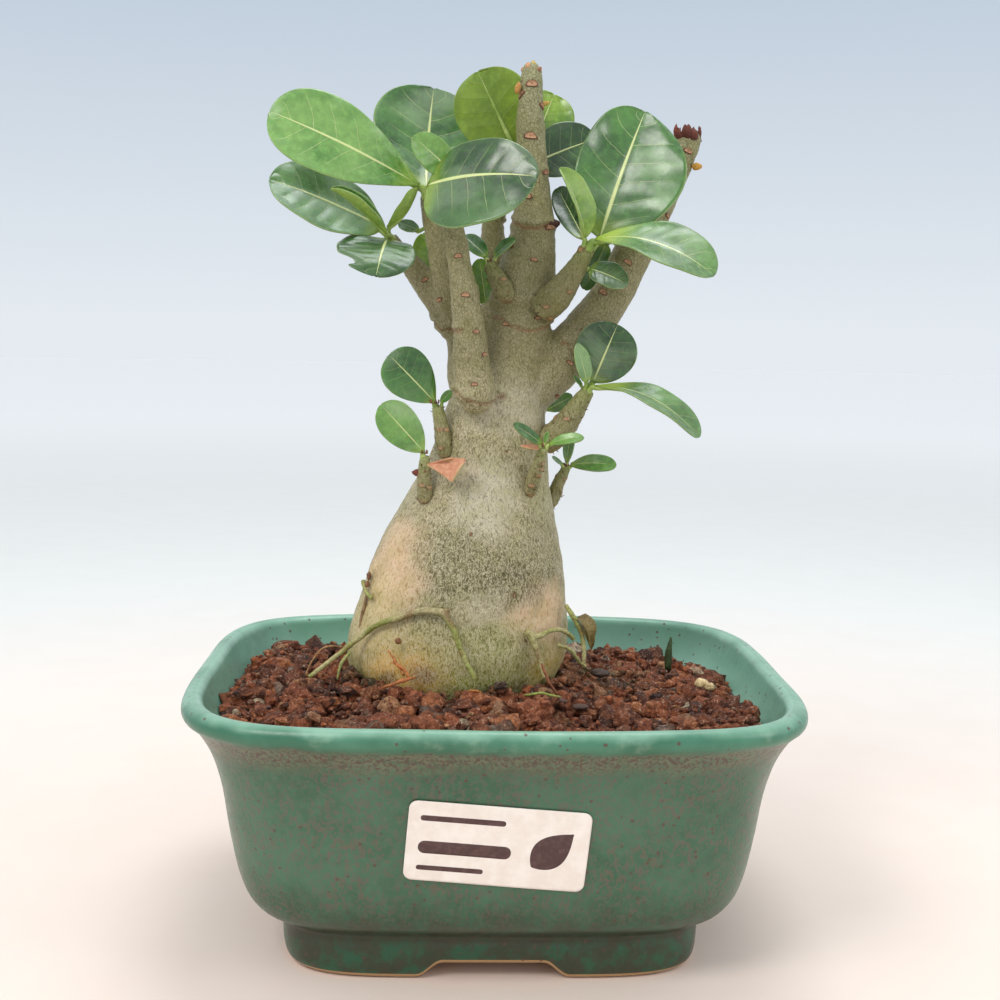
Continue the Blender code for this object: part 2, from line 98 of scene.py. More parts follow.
def readSurface(mesh):
    # The points in millimetres, and their normals.
    points, normals = np.zeros(len(mesh.vertices) * 3), np.zeros(len(mesh.vertices) * 3)
    mesh.vertices.foreach_get("co", points)
    mesh.vertices.foreach_get("normal", normals)
    return points.reshape(-1, 3) / mm, normals.reshape(-1, 3)


def writePoints(mesh, points):
    mesh.vertices.foreach_set("co", (points * mm).astype(np.float32).ravel())
    mesh.update()


def paintPoints(mesh, name, colours):
    # Stores one linear colour for each point of the mesh.
    attribute = mesh.color_attributes.new(name, "FLOAT_COLOR", "POINT")
    full = np.ones((len(mesh.vertices), 4), np.float32)
    full[:, :3] = colours
    attribute.data.foreach_set("color", full.ravel())


def surfaceTree(item):
    # For rays onto a finished piece and for its nearest points.
    return BVHTree.FromPolygons([v.co for v in item.data.vertices], [p.vertices for p in item.data.polygons])


def titled(node):
    return "".join(word.title() for word in node.split("_"))


def smoothPath(stations, steps):
    # A Catmull-Rom curve through the stations, carrying every value along.
    points = [tuple(float(value) for value in station) for station in stations]
    first = tuple(2 * a - b for a, b in zip(points[0], points[1]))
    last = tuple(2 * a - b for a, b in zip(points[-1], points[-2]))
    points = [first] + points + [last]
    path = []
    for index in range(1, len(points) - 2):
        before, start, end, after = points[index - 1:index + 3]
        for step in range(steps):
            t = step / steps
            path.append(tuple(
                0.5 * (2 * s + (e - b) * t + (2 * b - 5 * s + 4 * e - a) * t * t
                       + (3 * s - b - 3 * e + a) * t ** 3)
                for b, s, e, a in zip(before, start, end, after)))
    path.append(points[-2])
    return path


def interpolate(table, height):
    rows = sorted(table)
    for (low, first), (high, second) in zip(rows, rows[1:]):
        if height <= high:
            share = max(0.0, (height - low) / (high - low))
            return first + (second - first) * share
    return rows[-1][1]


def ease(low, high, value):
    share = min(1.0, max(0.0, (value - low) / (high - low)))
    return share * share * (3 - 2 * share)


def blend(first, second, share):
    return np.array(first) * (1 - share) + np.array(second) * share


def firstRing(bm, count):
    # A circle of points, each of which knows its number round the ring.
    spoke = bm.verts.layers.int.get("spoke") or bm.verts.layers.int.new("spoke")
    ring = bmesh.ops.create_circle(bm, cap_ends=False, segments=count, radius=1)["verts"]
    for number, vert in enumerate(ring):
        vert[spoke] = number
    return spoke, ring, list({edge for vert in ring for edge in vert.link_edges})


def nextRing(bm, edges):
    made = bmesh.ops.extrude_edge_only(bm, edges=edges)["geom"]
    return ([part for part in made if isinstance(part, bmesh.types.BMVert)],
            [part for part in made if isinstance(part, bmesh.types.BMEdge)])


def loft(bm, sides, count, placePoint):
    # A closed tube of rings: placePoint says where the point at an angle of a numbered ring stands.
    spoke, ring, edges = firstRing(bm, sides)
    start = edges
    for index in range(count):
        if index:
            ring, edges = nextRing(bm, edges)
        for vert in ring:
            vert.co = placePoint(index, 2 * math.pi * vert[spoke] / sides)
    bmesh.ops.contextual_create(bm, geom=start)
    bmesh.ops.contextual_create(bm, geom=edges)


def addTube(bm, path, sides):
    # A round rod along a path of (x, y, z, radius).
    centres = [Vector(place[:3]) for place in path]
    across = Vector((1, 0.13, 0.07))
    turns = []
    for index in range(len(path)):
        ahead = centres[min(index + 1, len(path) - 1)] - centres[max(index - 1, 0)]
        ahead.normalize()
        across = (across - ahead * across.dot(ahead)).normalized()
        turns.append((across, ahead.cross(across)))

    def onRing(index, angle):
        side, over = turns[index]
        return centres[index] + (side * math.cos(angle) + over * math.sin(angle)) * path[index][3]

    loft(bm, sides, len(path), onRing)


class Paint:
    # Builds one material's nodes around its Principled shader.
    def __init__(self, name, roughness, **settings):
        self.material = bpy.data.materials.new(name)
        self.material.use_nodes = True
        self.tree = self.material.node_tree
        self.shader = self.tree.nodes["Principled BSDF"]
        self.shader.inputs["Roughness"].default_value = roughness
        for label, value in settings.items():
            self.shader.inputs[label.replace("_", " ")].default_value = value
        coordinates = self.add("ShaderNodeTexCoord")
        self.place = coordinates.outputs["Object"]
        self.sheet = coordinates.outputs["UV"]

    def add(self, kind, **settings):
        node = self.tree.nodes.new(kind)
        for label, value in settings.items():
            setattr(node, label, value)
        return node

    def feed(self, socket, value):
        if isinstance(value, bpy.types.NodeSocket):
            self.tree.links.new(value, socket)
        elif socket.type == "RGBA":
            # whole numbers are a screen tone
            linear = tone(*value) if isinstance(value[0], int) else value
            socket.default_value = (*linear, 1.0)
        else:
            socket.default_value = value

    def math(self, operation, *values, clamp=False):
        node = self.add("ShaderNodeMath", operation=operation, use_clamp=clamp)
        for socket, value in zip(node.inputs, values):
            self.feed(socket, value)
        return node.outputs[0]

    def times(self, first, second):
        return self.math("MULTIPLY", first, second)

    def mix(self, share, first, second, blend="MIX"):
        node = self.add("ShaderNodeMix", data_type="RGBA", blend_type=blend)
        self.feed(node.inputs[0], share)
        self.feed(node.inputs[6], first)
        self.feed(node.inputs[7], second)
        return node.outputs[2]

    def over(self, colour, mask, strength, screenTone):
        # Lays a screen tone over a colour where the mask is.
        return self.mix(self.times(mask, strength), colour, screenTone)

    def dapple(self, colour, mask, dark, light):
        return self.mix(1.0, colour, self.mix(mask, dark, light), "MULTIPLY")

    def stretch(self, vector, sizes):
        node = self.add("ShaderNodeVectorMath", operation="MULTIPLY")
        self.feed(node.inputs[0], vector)
        node.inputs[1].default_value = sizes
        return node.outputs[0]

    def warp(self, vector, scale, amount):
        # Pushes the coordinates about, so that the cells on them aren't regular.
        cloud = self.add("ShaderNodeTexNoise")
        self.feed(cloud.inputs["Vector"], vector)
        cloud.inputs["Scale"].default_value = scale
        push = self.add("ShaderNodeVectorMath", operation="MULTIPLY_ADD")
        self.feed(push.inputs[0], cloud.outputs["Color"])
        push.inputs[1].default_value = (amount, amount, amount)
        self.feed(push.inputs[2], vector)
        return push.outputs[0]

    def cloud(self, scale, detail=3.0, rough=0.5, vector=None):
        node = self.add("ShaderNodeTexNoise")
        self.feed(node.inputs["Vector"], self.place if vector is None else vector)
        node.inputs["Scale"].default_value = scale
        node.inputs["Detail"].default_value = detail
        node.inputs["Roughness"].default_value = rough
        return node.outputs["Fac"]

    def cells(self, scale, feature="F1", vector=None):
        node = self.add("ShaderNodeTexVoronoi", feature=feature)
        self.feed(node.inputs["Vector"], self.place if vector is None else vector)
        node.inputs["Scale"].default_value = scale
        return node.outputs["Distance"]

    def fade(self, value, low, high, start=0.0, end=1.0):
        node = self.add("ShaderNodeMapRange", interpolation_type="SMOOTHSTEP", clamp=True)
        self.feed(node.inputs["Value"], value)
        for label, number in (("From Min", low), ("From Max", high), ("To Min", start), ("To Max", end)):
            node.inputs[label].default_value = number
        return node.outputs["Result"]

    def axis(self, vector, label):
        node = self.add("ShaderNodeSeparateXYZ")
        self.feed(node.inputs[0], vector)
        return node.outputs[label]

    def colourOf(self, name):
        node = self.add("ShaderNodeAttribute", attribute_name=name)
        return node.outputs["Color"]

    def bump(self, height, distance, strength=1.0, over=None):
        node = self.add("ShaderNodeBump")
        node.inputs["Strength"].default_value = strength
        node.inputs["Distance"].default_value = distance
        self.feed(node.inputs["Height"], height)
        if over is not None:
            self.feed(node.inputs["Normal"], over)
        return node.outputs["Normal"]

    def finish(self, colour, roughness=None, normal=None):
        self.feed(self.shader.inputs["Base Color"], colour)
        if roughness is not None:
            self.feed(self.shader.inputs["Roughness"], roughness)
        if normal is not None:
            self.feed(self.shader.inputs["Normal"], normal)
        return self.material


bowl = {
    "width": 165.0,
    "depth": 140.0,
    "height": 72.0,
    "lipRadius": 2.8,
    "spokes": 480,
    "skirt": 11.0,
    "unevenness": 0.3,
    "droop": 0.35,
    "frontGap": (15.0, 18.6, 4.0),
    "sideGap": (12.5, 16.1, 3.6),
    "drainRadius": 6.0,
    "drainSpacing": 52.0,
}
# Height and width up the outside, and down the inside.
bowlWall = [
    (0, 106.4), (0.2, 108.4), (0.8, 110.4), (2, 112), (4.5, 112.9), (8, 113.2), (9.8, 113), (11, 113.2),
    (12.1, 114.4), (13, 117), (14.2, 121), (16, 126), (18.6, 130.2), (21.4, 133.1), (25.2, 135.6),
    (29, 137.5), (38, 141), (48, 144.5), (56, 149), (61, 153.5), (65, 158.5),
]
bowlInside = [
    (62, 148), (54, 138.5), (40, 130), (24, 122), (15, 112), (12, 104),
]
footWidth = bowlWall[0][1]
floorHeight, floorWidth = bowlInside[-1]


def exponentAt(height):
    return 5.5 - min(1.0, height / bowl["height"])


def squarePoint(width, height, turn):
    # A point of the rounded square that is this wide, with more of them near its corners.
    depth = width * bowl["depth"] / bowl["width"]
    exponent = exponentAt(height)
    angle = turn + 0.16 * math.sin(4 * turn)
    cosine, sine = math.cos(angle), math.sin(angle)
    reach = (abs(2 * cosine / width) ** exponent + abs(2 * sine / depth) ** exponent) ** (-1 / exponent)
    return reach * cosine, reach * sine


def footGap(x, y):
    # How high the underside stands over the table, between the four feet.
    gaps = []
    for across, (inner, outer, rise) in ((x, bowl["frontGap"]), (y, bowl["sideGap"])):
        gaps.append(rise * (1 - ease(inner - 1.8, outer + 1.2, abs(across))))
    return max(gaps)


def makeBowl(glaze):
    lip = bowl["lipRadius"]
    under = (0.04, 0.12, 0.2, 0.28, 0.36, 0.44, 0.52, 0.6, 0.68, 0.76, 0.84, 0.9, 0.95, 0.98)
    stations = [(footWidth * share, 0.0) for share in under]
    stations += [(width, max(0.0, height)) for height, width in smoothPath(bowlWall, 3)]
    for degrees in range(-56, 181, 14):
        stations.append((bowl["width"] - 2 * lip + 2 * lip * math.cos(math.radians(degrees)),
                         bowl["height"] - lip + lip * math.sin(math.radians(degrees))))
    stations += [(width, height) for height, width in smoothPath(bowlInside, 4)]
    stations += [(floorWidth * share, floorHeight) for share in (0.96, 0.8, 0.6, 0.4, 0.2, 0.05)]

    def onShell(index, turn):
        width, height = stations[index]
        x, y = squarePoint(width, height, turn)
        z = height
        if height < bowl["skirt"]:
            gap = footGap(x, y)
            z = gap + height * (bowl["skirt"] - gap) / bowl["skirt"]
        push = bowl["unevenness"] * ease(12, 20, height) * noise.noise(Vector((x, y, z * 1.6)) * 0.035)
        sag = bowl["droop"] * ease(50, 70, height) * noise.noise(Vector((x, y, 0)) * 0.022)
        flat = Vector((x, y)).normalized()
        return x + flat.x * push, y + flat.y * push, z + sag

    bm = bmesh.new()
    loft(bm, bowl["spokes"], len(stations), onShell)
    bmesh.ops.recalc_face_normals(bm, faces=bm.faces)
    pot = addObject("Bowl", bm, glaze)
    cutters = []
    for side in (-1, 1):
        bm = bmesh.new()
        bmesh.ops.create_cone(bm, cap_ends=True, segments=64, radius1=bowl["drainRadius"],
                              radius2=bowl["drainRadius"], depth=3 * floorHeight)
        bmesh.ops.translate(bm, verts=bm.verts, vec=(side * bowl["drainSpacing"] / 2, 0, floorHeight / 2))
        cutters.append(addObject("drainCutter", bm, glaze))
        cut = pot.modifiers.new("Drain", "BOOLEAN")
        cut.operation = "DIFFERENCE"
        cut.solver = "EXACT"
        cut.object = cutters[-1]
    applyModifiers(pot)
    for cutter in cutters:
        bpy.data.objects.remove(cutter, do_unlink=True)
    pot.data.set_sharp_from_angle(angle=math.radians(50))
    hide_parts("pot")
    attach(pot, "root")
    return pot


def glazeMaterial():
    paint = Paint("TealGlaze", 0.34, Coat_Weight=0.12, Coat_Roughness=0.32)
    high = paint.axis(paint.place, "Z")
    wander = paint.math("MULTIPLY_ADD", paint.math("SUBTRACT", paint.cloud(90, 3), 0.5), 0.005, high)
    broad = paint.cloud(38, 4, 0.6)
    fine = paint.cloud(420, 5, 0.62)
    # body glaze, from the dark foot up to the bright lip
    wall = paint.mix(paint.fade(broad, 0.35, 0.68), (44, 88, 62), (64, 106, 80))
    wall = paint.mix(paint.fade(fine, 0.38, 0.75, 0.0, 0.6), wall, (72, 112, 84))
    foot = paint.mix(paint.fade(paint.cloud(150, 4, 0.6), 0.42, 0.6), (44, 56, 36), (26, 82, 56))
    colour = paint.mix(paint.fade(wander, 0.010, 0.030), foot, wall)
    # small brown flecks, drawn out a little down the wall and gathered in drifts
    drawn = paint.stretch(paint.place, (1, 1, 0.6))
    drift = paint.fade(paint.cloud(110, 3, 0.6), 0.32, 0.6)
    small = paint.fade(paint.cloud(1300, 2, 0.55, drawn), 0.525, 0.575)
    large = paint.fade(paint.cloud(760, 3, 0.6, drawn), 0.56, 0.6)
    scattered = paint.times(small, paint.math("MULTIPLY_ADD", drift, 0.7, 0.3))
    flecks = paint.math("MAXIMUM", scattered, paint.times(large, drift))
    inside = paint.fade(paint.colourOf("inside"), 0.3, 0.7)
    belowLip = paint.times(paint.fade(wander, 0.0655, 0.068, 1.0, 0.0), paint.math("SUBTRACT", 1.0, inside))
    flecks = paint.times(flecks, paint.times(belowLip, paint.fade(wander, 0.013, 0.024, 0.12, 1.0)))
    colour = paint.over(colour, flecks, 0.66, (102, 84, 72))
    # crowded mottling just under the lip: beige ground with dark crumbs
    band = paint.times(paint.fade(wander, 0.058, 0.064), belowLip)
    beige = paint.fade(paint.cloud(480, 5, 0.68), 0.36, 0.6, 0.25, 0.8)
    colour = paint.over(colour, band, beige, (112, 114, 88))
    crumbs = paint.times(band, paint.fade(paint.cloud(1150, 3, 0.6), 0.5, 0.55))
    colour = paint.over(colour, crumbs, 0.85, (84, 62, 54))
    low = paint.fade(wander, 0.010, 0.032, 0.6, 0.0)
    dark = paint.fade(paint.cloud(520, 5, 0.66, drawn), 0.47, 0.6)
    colour = paint.mix(paint.times(low, dark), colour, (58, 56, 38))
    ledge = paint.times(paint.fade(high, 0.0088, 0.0115), paint.fade(high, 0.0135, 0.017, 1.0, 0.0))
    colour = paint.over(colour, ledge, 0.6, (52, 46, 34))
    # the smooth lip with a painted highlight along its top, and the inside painted lighter against its shade
    lip = paint.mix(paint.fade(broad, 0.38, 0.64), (48, 104, 78), (70, 126, 100))
    lip = paint.mix(paint.fade(paint.cloud(90, 4, 0.65), 0.56, 0.72, 0.0, 0.5), lip, (126, 152, 128))
    # a painted highlight: the top of the lip is lighter
    lip = paint.mix(paint.fade(wander, 0.0695, 0.0725, 0.0, 0.75), lip, (134, 178, 154))
    # painted light: the inside is lighter, most of all low down, against the shade in the bowl
    lip = paint.mix(paint.times(inside, paint.fade(wander, 0.05, 0.07, 0.95, 0.2)), lip, (172, 220, 200))
    colour = paint.mix(paint.math("MAXIMUM", paint.fade(wander, 0.0655, 0.068), inside), colour, lip)
    # worn tan ring where the feet were wiped clean of glaze
    edge = paint.fade(paint.colourOf("edge"), 0.35, 0.6)
    colour = paint.mix(edge, colour, (176, 138, 92))
    # few dark pin spots everywhere
    pin = paint.fade(paint.cells(340, vector=paint.warp(paint.place, 500, 0.001)), 0.12, 0.18, 1.0, 0.0)
    pin = paint.times(pin, paint.fade(paint.cloud(170, 2), 0.42, 0.48))
    colour = paint.over(colour, pin, 0.85, (84, 58, 44))
    rough = paint.fade(fine, 0.3, 0.8, 0.28, 0.46)
    bump = paint.bump(paint.cloud(260, 4, 0.6), 0.00012, 0.5)
    bump = paint.bump(flecks, 0.00008, 0.5, bump)
    return paint.finish(colour, rough, bump)


def markBowl(pot):
    # The unglazed ring is the rounded corner of the feet and of their gaps; inside, the glaze is painted
    # lighter, as painted light against the shade in the bowl.
    points, normals = readSurface(pot.data)
    edge, inner = np.zeros((len(points), 3)), np.zeros((len(points), 3))
    for index, (x, y, z) in enumerate(points):
        if z < bowl["skirt"]:
            edge[index] = 1 - ease(1.0, 2.0, z - footGap(x, y))
        outward = (normals[index][0] * x + normals[index][1] * y) / max(1.0, math.hypot(x, y))
        inner[index] = 1 - ease(-0.6, 0.1, outward) if z > floorHeight - 0.5 else 0
    paintPoints(pot.data, "edge", edge)
    paintPoints(pot.data, "inside", inner)


label = {
    "width": 45.0,
    "height": 21.5,
    "corner": 2.2,
    "turn": -4.5,
    "centre": (-0.1, 40.9),
    "lift": 0.45,
    "bars": (((-9, 6.2), (21, 1.5)), ((-8, -1.6), (23, 3.4)), ((-11.2, -7.2), (16.6, 1.3))),
    "leafAcross": 13.6,
    "leafLength": 13.4,
    "leafHalf": 4.2,
}


def onWall(tree, u, v, lift):
    turn = math.radians(label["turn"])
    x = label["centre"][0] + u * math.cos(turn) - v * math.sin(turn)
    z = label["centre"][1] + u * math.sin(turn) + v * math.cos(turn)
    spot, normal, _, _ = tree.ray_cast(Vector((x, -120, z)) * mm, Vector((0, 1, 0)))
    return spot / mm + normal * lift


def roundedSheet(bm, tree, middle, size, corner, lift, columns, rows):
    made = bmesh.ops.create_grid(bm, x_segments=columns, y_segments=rows, size=1)["verts"]
    for vert in made:
        u, v = vert.co.x * size[0] / 2, vert.co.y * size[1] / 2
        overU, overV = abs(u) - size[0] / 2 + corner, abs(v) - size[1] / 2 + corner
        if overU > 0 and overV > 0:
            shrink = max(overU, overV) / math.hypot(overU, overV)
            u = math.copysign(size[0] / 2 - corner + overU * shrink, u)
            v = math.copysign(size[1] / 2 - corner + overV * shrink, v)
        vert.co = onWall(tree, u + middle[0], v + middle[1], lift)


def makeLabel(pot, paper, ink):
    tree = surfaceTree(pot)
    bm = bmesh.new()
    roundedSheet(bm, tree, (0, 0), (label["width"], label["height"]), label["corner"], label["lift"], 90, 44)
    sheet = addObject("Label", bm, paper)
    # plain bars and a leaf stand for the print
    bm = bmesh.new()
    lift = label["lift"] + 0.05
    for middle, size in label["bars"]:
        roundedSheet(bm, tree, middle, size, size[1] / 2 - 0.05, lift, 40, 6)
    for vert in bmesh.ops.create_grid(bm, x_segments=36, y_segments=12, size=1)["verts"]:
        t = vert.co.x * 0.5 + 0.5
        half = label["leafHalf"] * math.sin(math.pi * t ** 0.8) ** 0.9 if 0 < t < 1 else 0
        u, v = (t - 0.5) * label["leafLength"], vert.co.y * max(0.25, half)
        if abs(vert.co.y) < 0.1:
            v = math.copysign(0.18, vert.co.y) if vert.co.y else 0
        vert.co = onWall(tree, label["leafAcross"] + 0.707 * (u - v), 0.707 * (u + v), lift)
    marks = addObject("LabelPrint", bm, ink)
    for item, thickness in ((sheet, 0.12), (marks, 0.03)):
        thicken(item, thickness, 0)
        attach(item, "root")
    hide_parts("label")


def paperMaterial():
    paint = Paint("LabelPaper", 0.42)
    cloud = paint.cloud(260, 4, 0.6)
    colour = paint.mix(paint.fade(cloud, 0.35, 0.7), (236, 224, 214), (244, 235, 226))
    return paint.finish(colour, None, paint.bump(paint.cloud(1500, 3), 0.00003, 0.4))


def inkMaterial():
    paint = Paint("LabelInk", 0.5)
    cloud = paint.cloud(700, 4, 0.6)
    return paint.finish(paint.mix(paint.fade(cloud, 0.4, 0.7), (74, 48, 48), (92, 66, 62)))


soil = {
    "clods": 500,
    "grains": 620,
    "crumbs": 1500,
    "clodSize": (2.5, 5.4),
    "grainSize": (1.0, 2.0),
    "crumbSize": (0.4, 0.9),
    "top": 63.4,
    "mound": 5.4,
    "bedDepth": 5.6,
    "bedWidth": 148.6,
    "wallGap": 0.9,
    "seed": 7,
}
# Colour and how often it comes.
earthTones = [
    ((180, 104, 66), 10), ((150, 82, 52), 10), ((120, 72, 50), 6), ((196, 122, 76), 7), ((82, 56, 50), 3),
    ((210, 156, 112), 3), ((146, 124, 108), 1.5), ((222, 204, 172), 1), ((184, 96, 46), 4),
]
innerWidths = bowlInside + [(69.2, 153.8)]
stemFoot = (-10.4, 10)


def soilHeight(x, y):
    fromTrunk = math.hypot(x + 9, (y - 8) * 1.1)
    mound = soil["mound"] * math.exp(-(fromTrunk / 42) ** 2)
    tilt = -0.022 * y * (1 if y < 0 else 0.3) - 0.012 * x
    back = -1.6 * ease(10, 60, y) - 1.4 * ease(20, 72, x)
    return soil["top"] + back + mound + tilt + 0.9 * noise.noise(Vector((x * 0.06, y * 0.06, 3.7)))


def insideBowl(x, y, margin):
    width = interpolate(innerWidths, soilHeight(x, y)) - 2 * margin
    depth = width * bowl["depth"] / bowl["width"]
    return abs(2 * x / width) ** 4.6 + abs(2 * y / depth) ** 4.6 < 1


def keepInside(points):
    # Flattens a grain's far side against the bowl's inner wall.
    heights, widths = zip(*sorted(innerWidths))
    width = np.interp(points[:, 2], heights, widths) - 0.4
    depth = width * bowl["depth"] / bowl["width"]
    power = 5.5 - np.minimum(1, points[:, 2] / bowl["height"])
    reach = np.abs(2 * points[:, 0] / width) ** power + np.abs(2 * points[:, 1] / depth) ** power
    points[:, :2] /= np.maximum(1, reach ** (1 / power))[:, None]
    return points


def clearOfStem(x, y, margin):
    return math.hypot((x - stemFoot[0]) / (30.4 + margin), (y - stemFoot[1]) / (27.6 + margin)) > 1


def grainShape(level, seed):
    # A broken crumb: a lumpy ball with a few flat faces knocked off.
    rng = random.Random(seed)
    bm = bmesh.new()
    bmesh.ops.create_icosphere(bm, subdivisions=level, radius=1)
    planes = []
    for _ in range(9):
        normal = Vector((rng.gauss(0, 1), rng.gauss(0, 1), rng.gauss(0, 1))).normalized()
        planes.append((normal, rng.uniform(0.5, 0.85)))
    shift = Vector((rng.uniform(0, 90), rng.uniform(0, 90), rng.uniform(0, 90)))
    for vert in bm.verts:
        place = vert.co.copy()
        for normal, reach in planes:
            over = place.dot(normal) - reach
            if over > 0:
                place -= normal * over * 0.85
        lump = 0.5 * noise.noise(place * 1.2 + shift) + 0.4 * noise.noise(place * 2.9 + shift)
        if level > 2:
            lump += 0.26 * noise.noise(place * 5.6 + shift) + 0.12 * noise.noise(place * 11 + shift)
        vert.co = place * (1.1 + lump)
    points = np.array([vert.co for vert in bm.verts])
    faces = np.array([[vert.index for vert in face.verts] for face in bm.faces])
    bm.free()
    return points, faces


def pickTone(rng, x, y):
    spot = rng.uniform(0, sum(weight for _, weight in earthTones))
    for colour, weight in earthTones:
        spot -= weight
        if spot <= 0:
            break
    shade = rng.uniform(0.55, 1.35)
    # moss in one drift on the right and in a ring about the trunk
    moss = 0.75 * math.exp(-((x - 32) ** 2 + (y - 6) ** 2) / 190) * rng.random()
    fromRing = math.hypot(x - stemFoot[0], y - stemFoot[1]) - 31
    moss = max(moss, 0.48 * math.exp(-(fromRing / 3) ** 2) * rng.random())
    return blend(np.array(tone(*colour)) * shade, tone(112, 112, 58), moss)


def makeBed(earth):
    stations = [(interpolate(bowlInside, height) - soil["wallGap"], height) for height in (12.5, 24, 40, 54)]
    stations += [(soil["bedWidth"] * (1 - step / 46), None) for step in range(46)]

    def onBed(index, turn):
        width, height = stations[index]
        x, y = squarePoint(width, height or 60, turn)
        if height is None:
            height = soilHeight(x, y) - soil["bedDepth"] + 1.2 * noise.noise(Vector((x, y, 5)) * 0.3)
            share = min(1, (interpolate(bowlInside, height) - soil["wallGap"]) / width)
            x, y = x * share, y * share
        return x, y, height

    bm = bmesh.new()
    loft(bm, 180, len(stations), onBed)
    bmesh.ops.recalc_face_normals(bm, faces=bm.faces)
    bed = addObject("SoilBed", bm, earth)
    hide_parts("soil")
    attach(bed, "root")


def makeSoil(clodFinish):
    rng = random.Random(soil["seed"])
    # the height of what lies there already, on a square grid
    step, half = 0.6, 86
    across = int(2 * half / step)
    levels = np.zeros((across, across))
    for column in range(across):
        for row in range(across):
            levels[column, row] = soilHeight(column * step - half, row * step - half) - 5.2

    def cell(x, y):
        return int((x + half) / step), int((y + half) / step)

    def settle(x, y, radius, sink):
        column, row = cell(x, y)
        reach = max(1, int(radius / step))
        near = levels[column - reach:column + reach + 1, row - reach:row + reach + 1]
        z = float(near.mean()) * 0.6 + float(near.max()) * 0.4 + radius * (1 - sink)
        for stepColumn in range(-reach, reach + 1):
            for stepRow in range(-reach, reach + 1):
                away = math.hypot(stepColumn, stepRow) * step
                if away < radius:
                    top = z + math.sqrt(radius * radius - away * away) * 0.8
                    spot = (column + stepColumn, row + stepRow)
                    levels[spot] = max(levels[spot], top)
        return z

    def lowestSpot(radius, tries):
        best = None
        for _ in range(tries):
            x, y = rng.uniform(-76, 76), rng.uniform(-65, 65)
            if not insideBowl(x, y, radius + 0.5) or not clearOfStem(x, y, radius * 0.55):
                continue
            ground = levels[cell(x, y)] - soilHeight(x, y)
            if best is None or ground < best[0]:
                best = (ground, x, y)
        return best

    for name, level, count, sizes, kinds, tries in (
            ("SoilClods", 3, soil["clods"], soil["clodSize"], 12, 1),
            ("SoilGrains", 2, soil["grains"], soil["grainSize"], 16, 5),
            ("SoilCrumbs", 1, soil["crumbs"], soil["crumbSize"], 10, 4)):
        shapes = [grainShape(level, soil["seed"] * 100 + level * 20 + kind) for kind in range(kinds)]
        allPoints, allFaces, colours, total, placed = [], [], [], 0, []
        for _ in range(count * 40):
            if len(placed) == count:
                break
            radius = rng.uniform(*sizes)
            best = lowestSpot(radius, tries)
            if best is None:
                continue
            _, x, y = best
            if level == 3 and any(math.hypot(x - a, y - b) < (radius + c) * 0.68 for a, b, c in placed):
                continue
            placed.append((x, y, radius))
            z = settle(x, y, radius, 0.6 if level == 3 else 0.45)
            points, faces = shapes[rng.randrange(kinds)]
            turn = Matrix.Rotation(rng.uniform(0, 6.28), 3, "Z")
            turn = turn @ Matrix.Rotation(rng.uniform(0, 6.28), 3, "X")
            squeeze = np.array([rng.uniform(0.8, 1.25), rng.uniform(0.75, 1.1), rng.uniform(0.7, 0.95)])
            here = (points @ np.array(turn).T) * squeeze * radius + np.array([x, y, z])
            allPoints.append(keepInside(here))
            allFaces.append(faces + total)
            total += len(points)
            colours.append(np.tile(pickTone(rng, x, y), (len(points), 1)))
        mesh = bpy.data.meshes.new(name)
        mesh.from_pydata((np.concatenate(allPoints) * mm).tolist(), [], np.concatenate(allFaces).tolist())
        if level > 2:
            mesh.shade_smooth()
        paintPoints(mesh, "earthTone", np.concatenate(colours))
        grains = addObject(name, mesh, clodFinish)
        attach(grains, "root")


def bedMaterial():
    paint = Paint("SoilBed", 0.95)
    colour = paint.mix(paint.fade(paint.cloud(900, 5, 0.7), 0.35, 0.7), (38, 26, 22), (84, 54, 40))
    return paint.finish(colour, None, paint.bump(paint.cloud(1400, 5, 0.7), 0.0006, 0.9))


def grainMaterial():
    paint = Paint("AkadamaGrain", 0.8, Specular_IOR_Level=0.5)
    own = paint.colourOf("earthTone")
    coarse = paint.cloud(620, 6, 0.74)
    rough = paint.cloud(1700, 5, 0.72)
    # darker where the bump sinks and lighter where it rises: painted shade in the pits and painted highlights
    # on the tops
    colour = paint.dapple(own, paint.fade(coarse, 0.34, 0.62), (120, 100, 90), (255, 255, 252))
    warm = paint.fade(paint.cloud(300, 4, 0.6), 0.42, 0.62)
    colour = paint.over(colour, warm, 0.4, (176, 98, 56))
    # pale specks on the raised parts: partly dust, partly painted glints of light
    dustAndGlint = paint.times(paint.fade(rough, 0.53, 0.6), paint.fade(coarse, 0.48, 0.62))
    colour = paint.over(colour, dustAndGlint, 0.85, (240, 208, 180))
    height = paint.math("MULTIPLY_ADD", rough, 0.4, coarse)
    return paint.finish(colour, paint.fade(rough, 0.35, 0.7, 0.9, 0.5), paint.bump(height, 0.0022, 1.0))


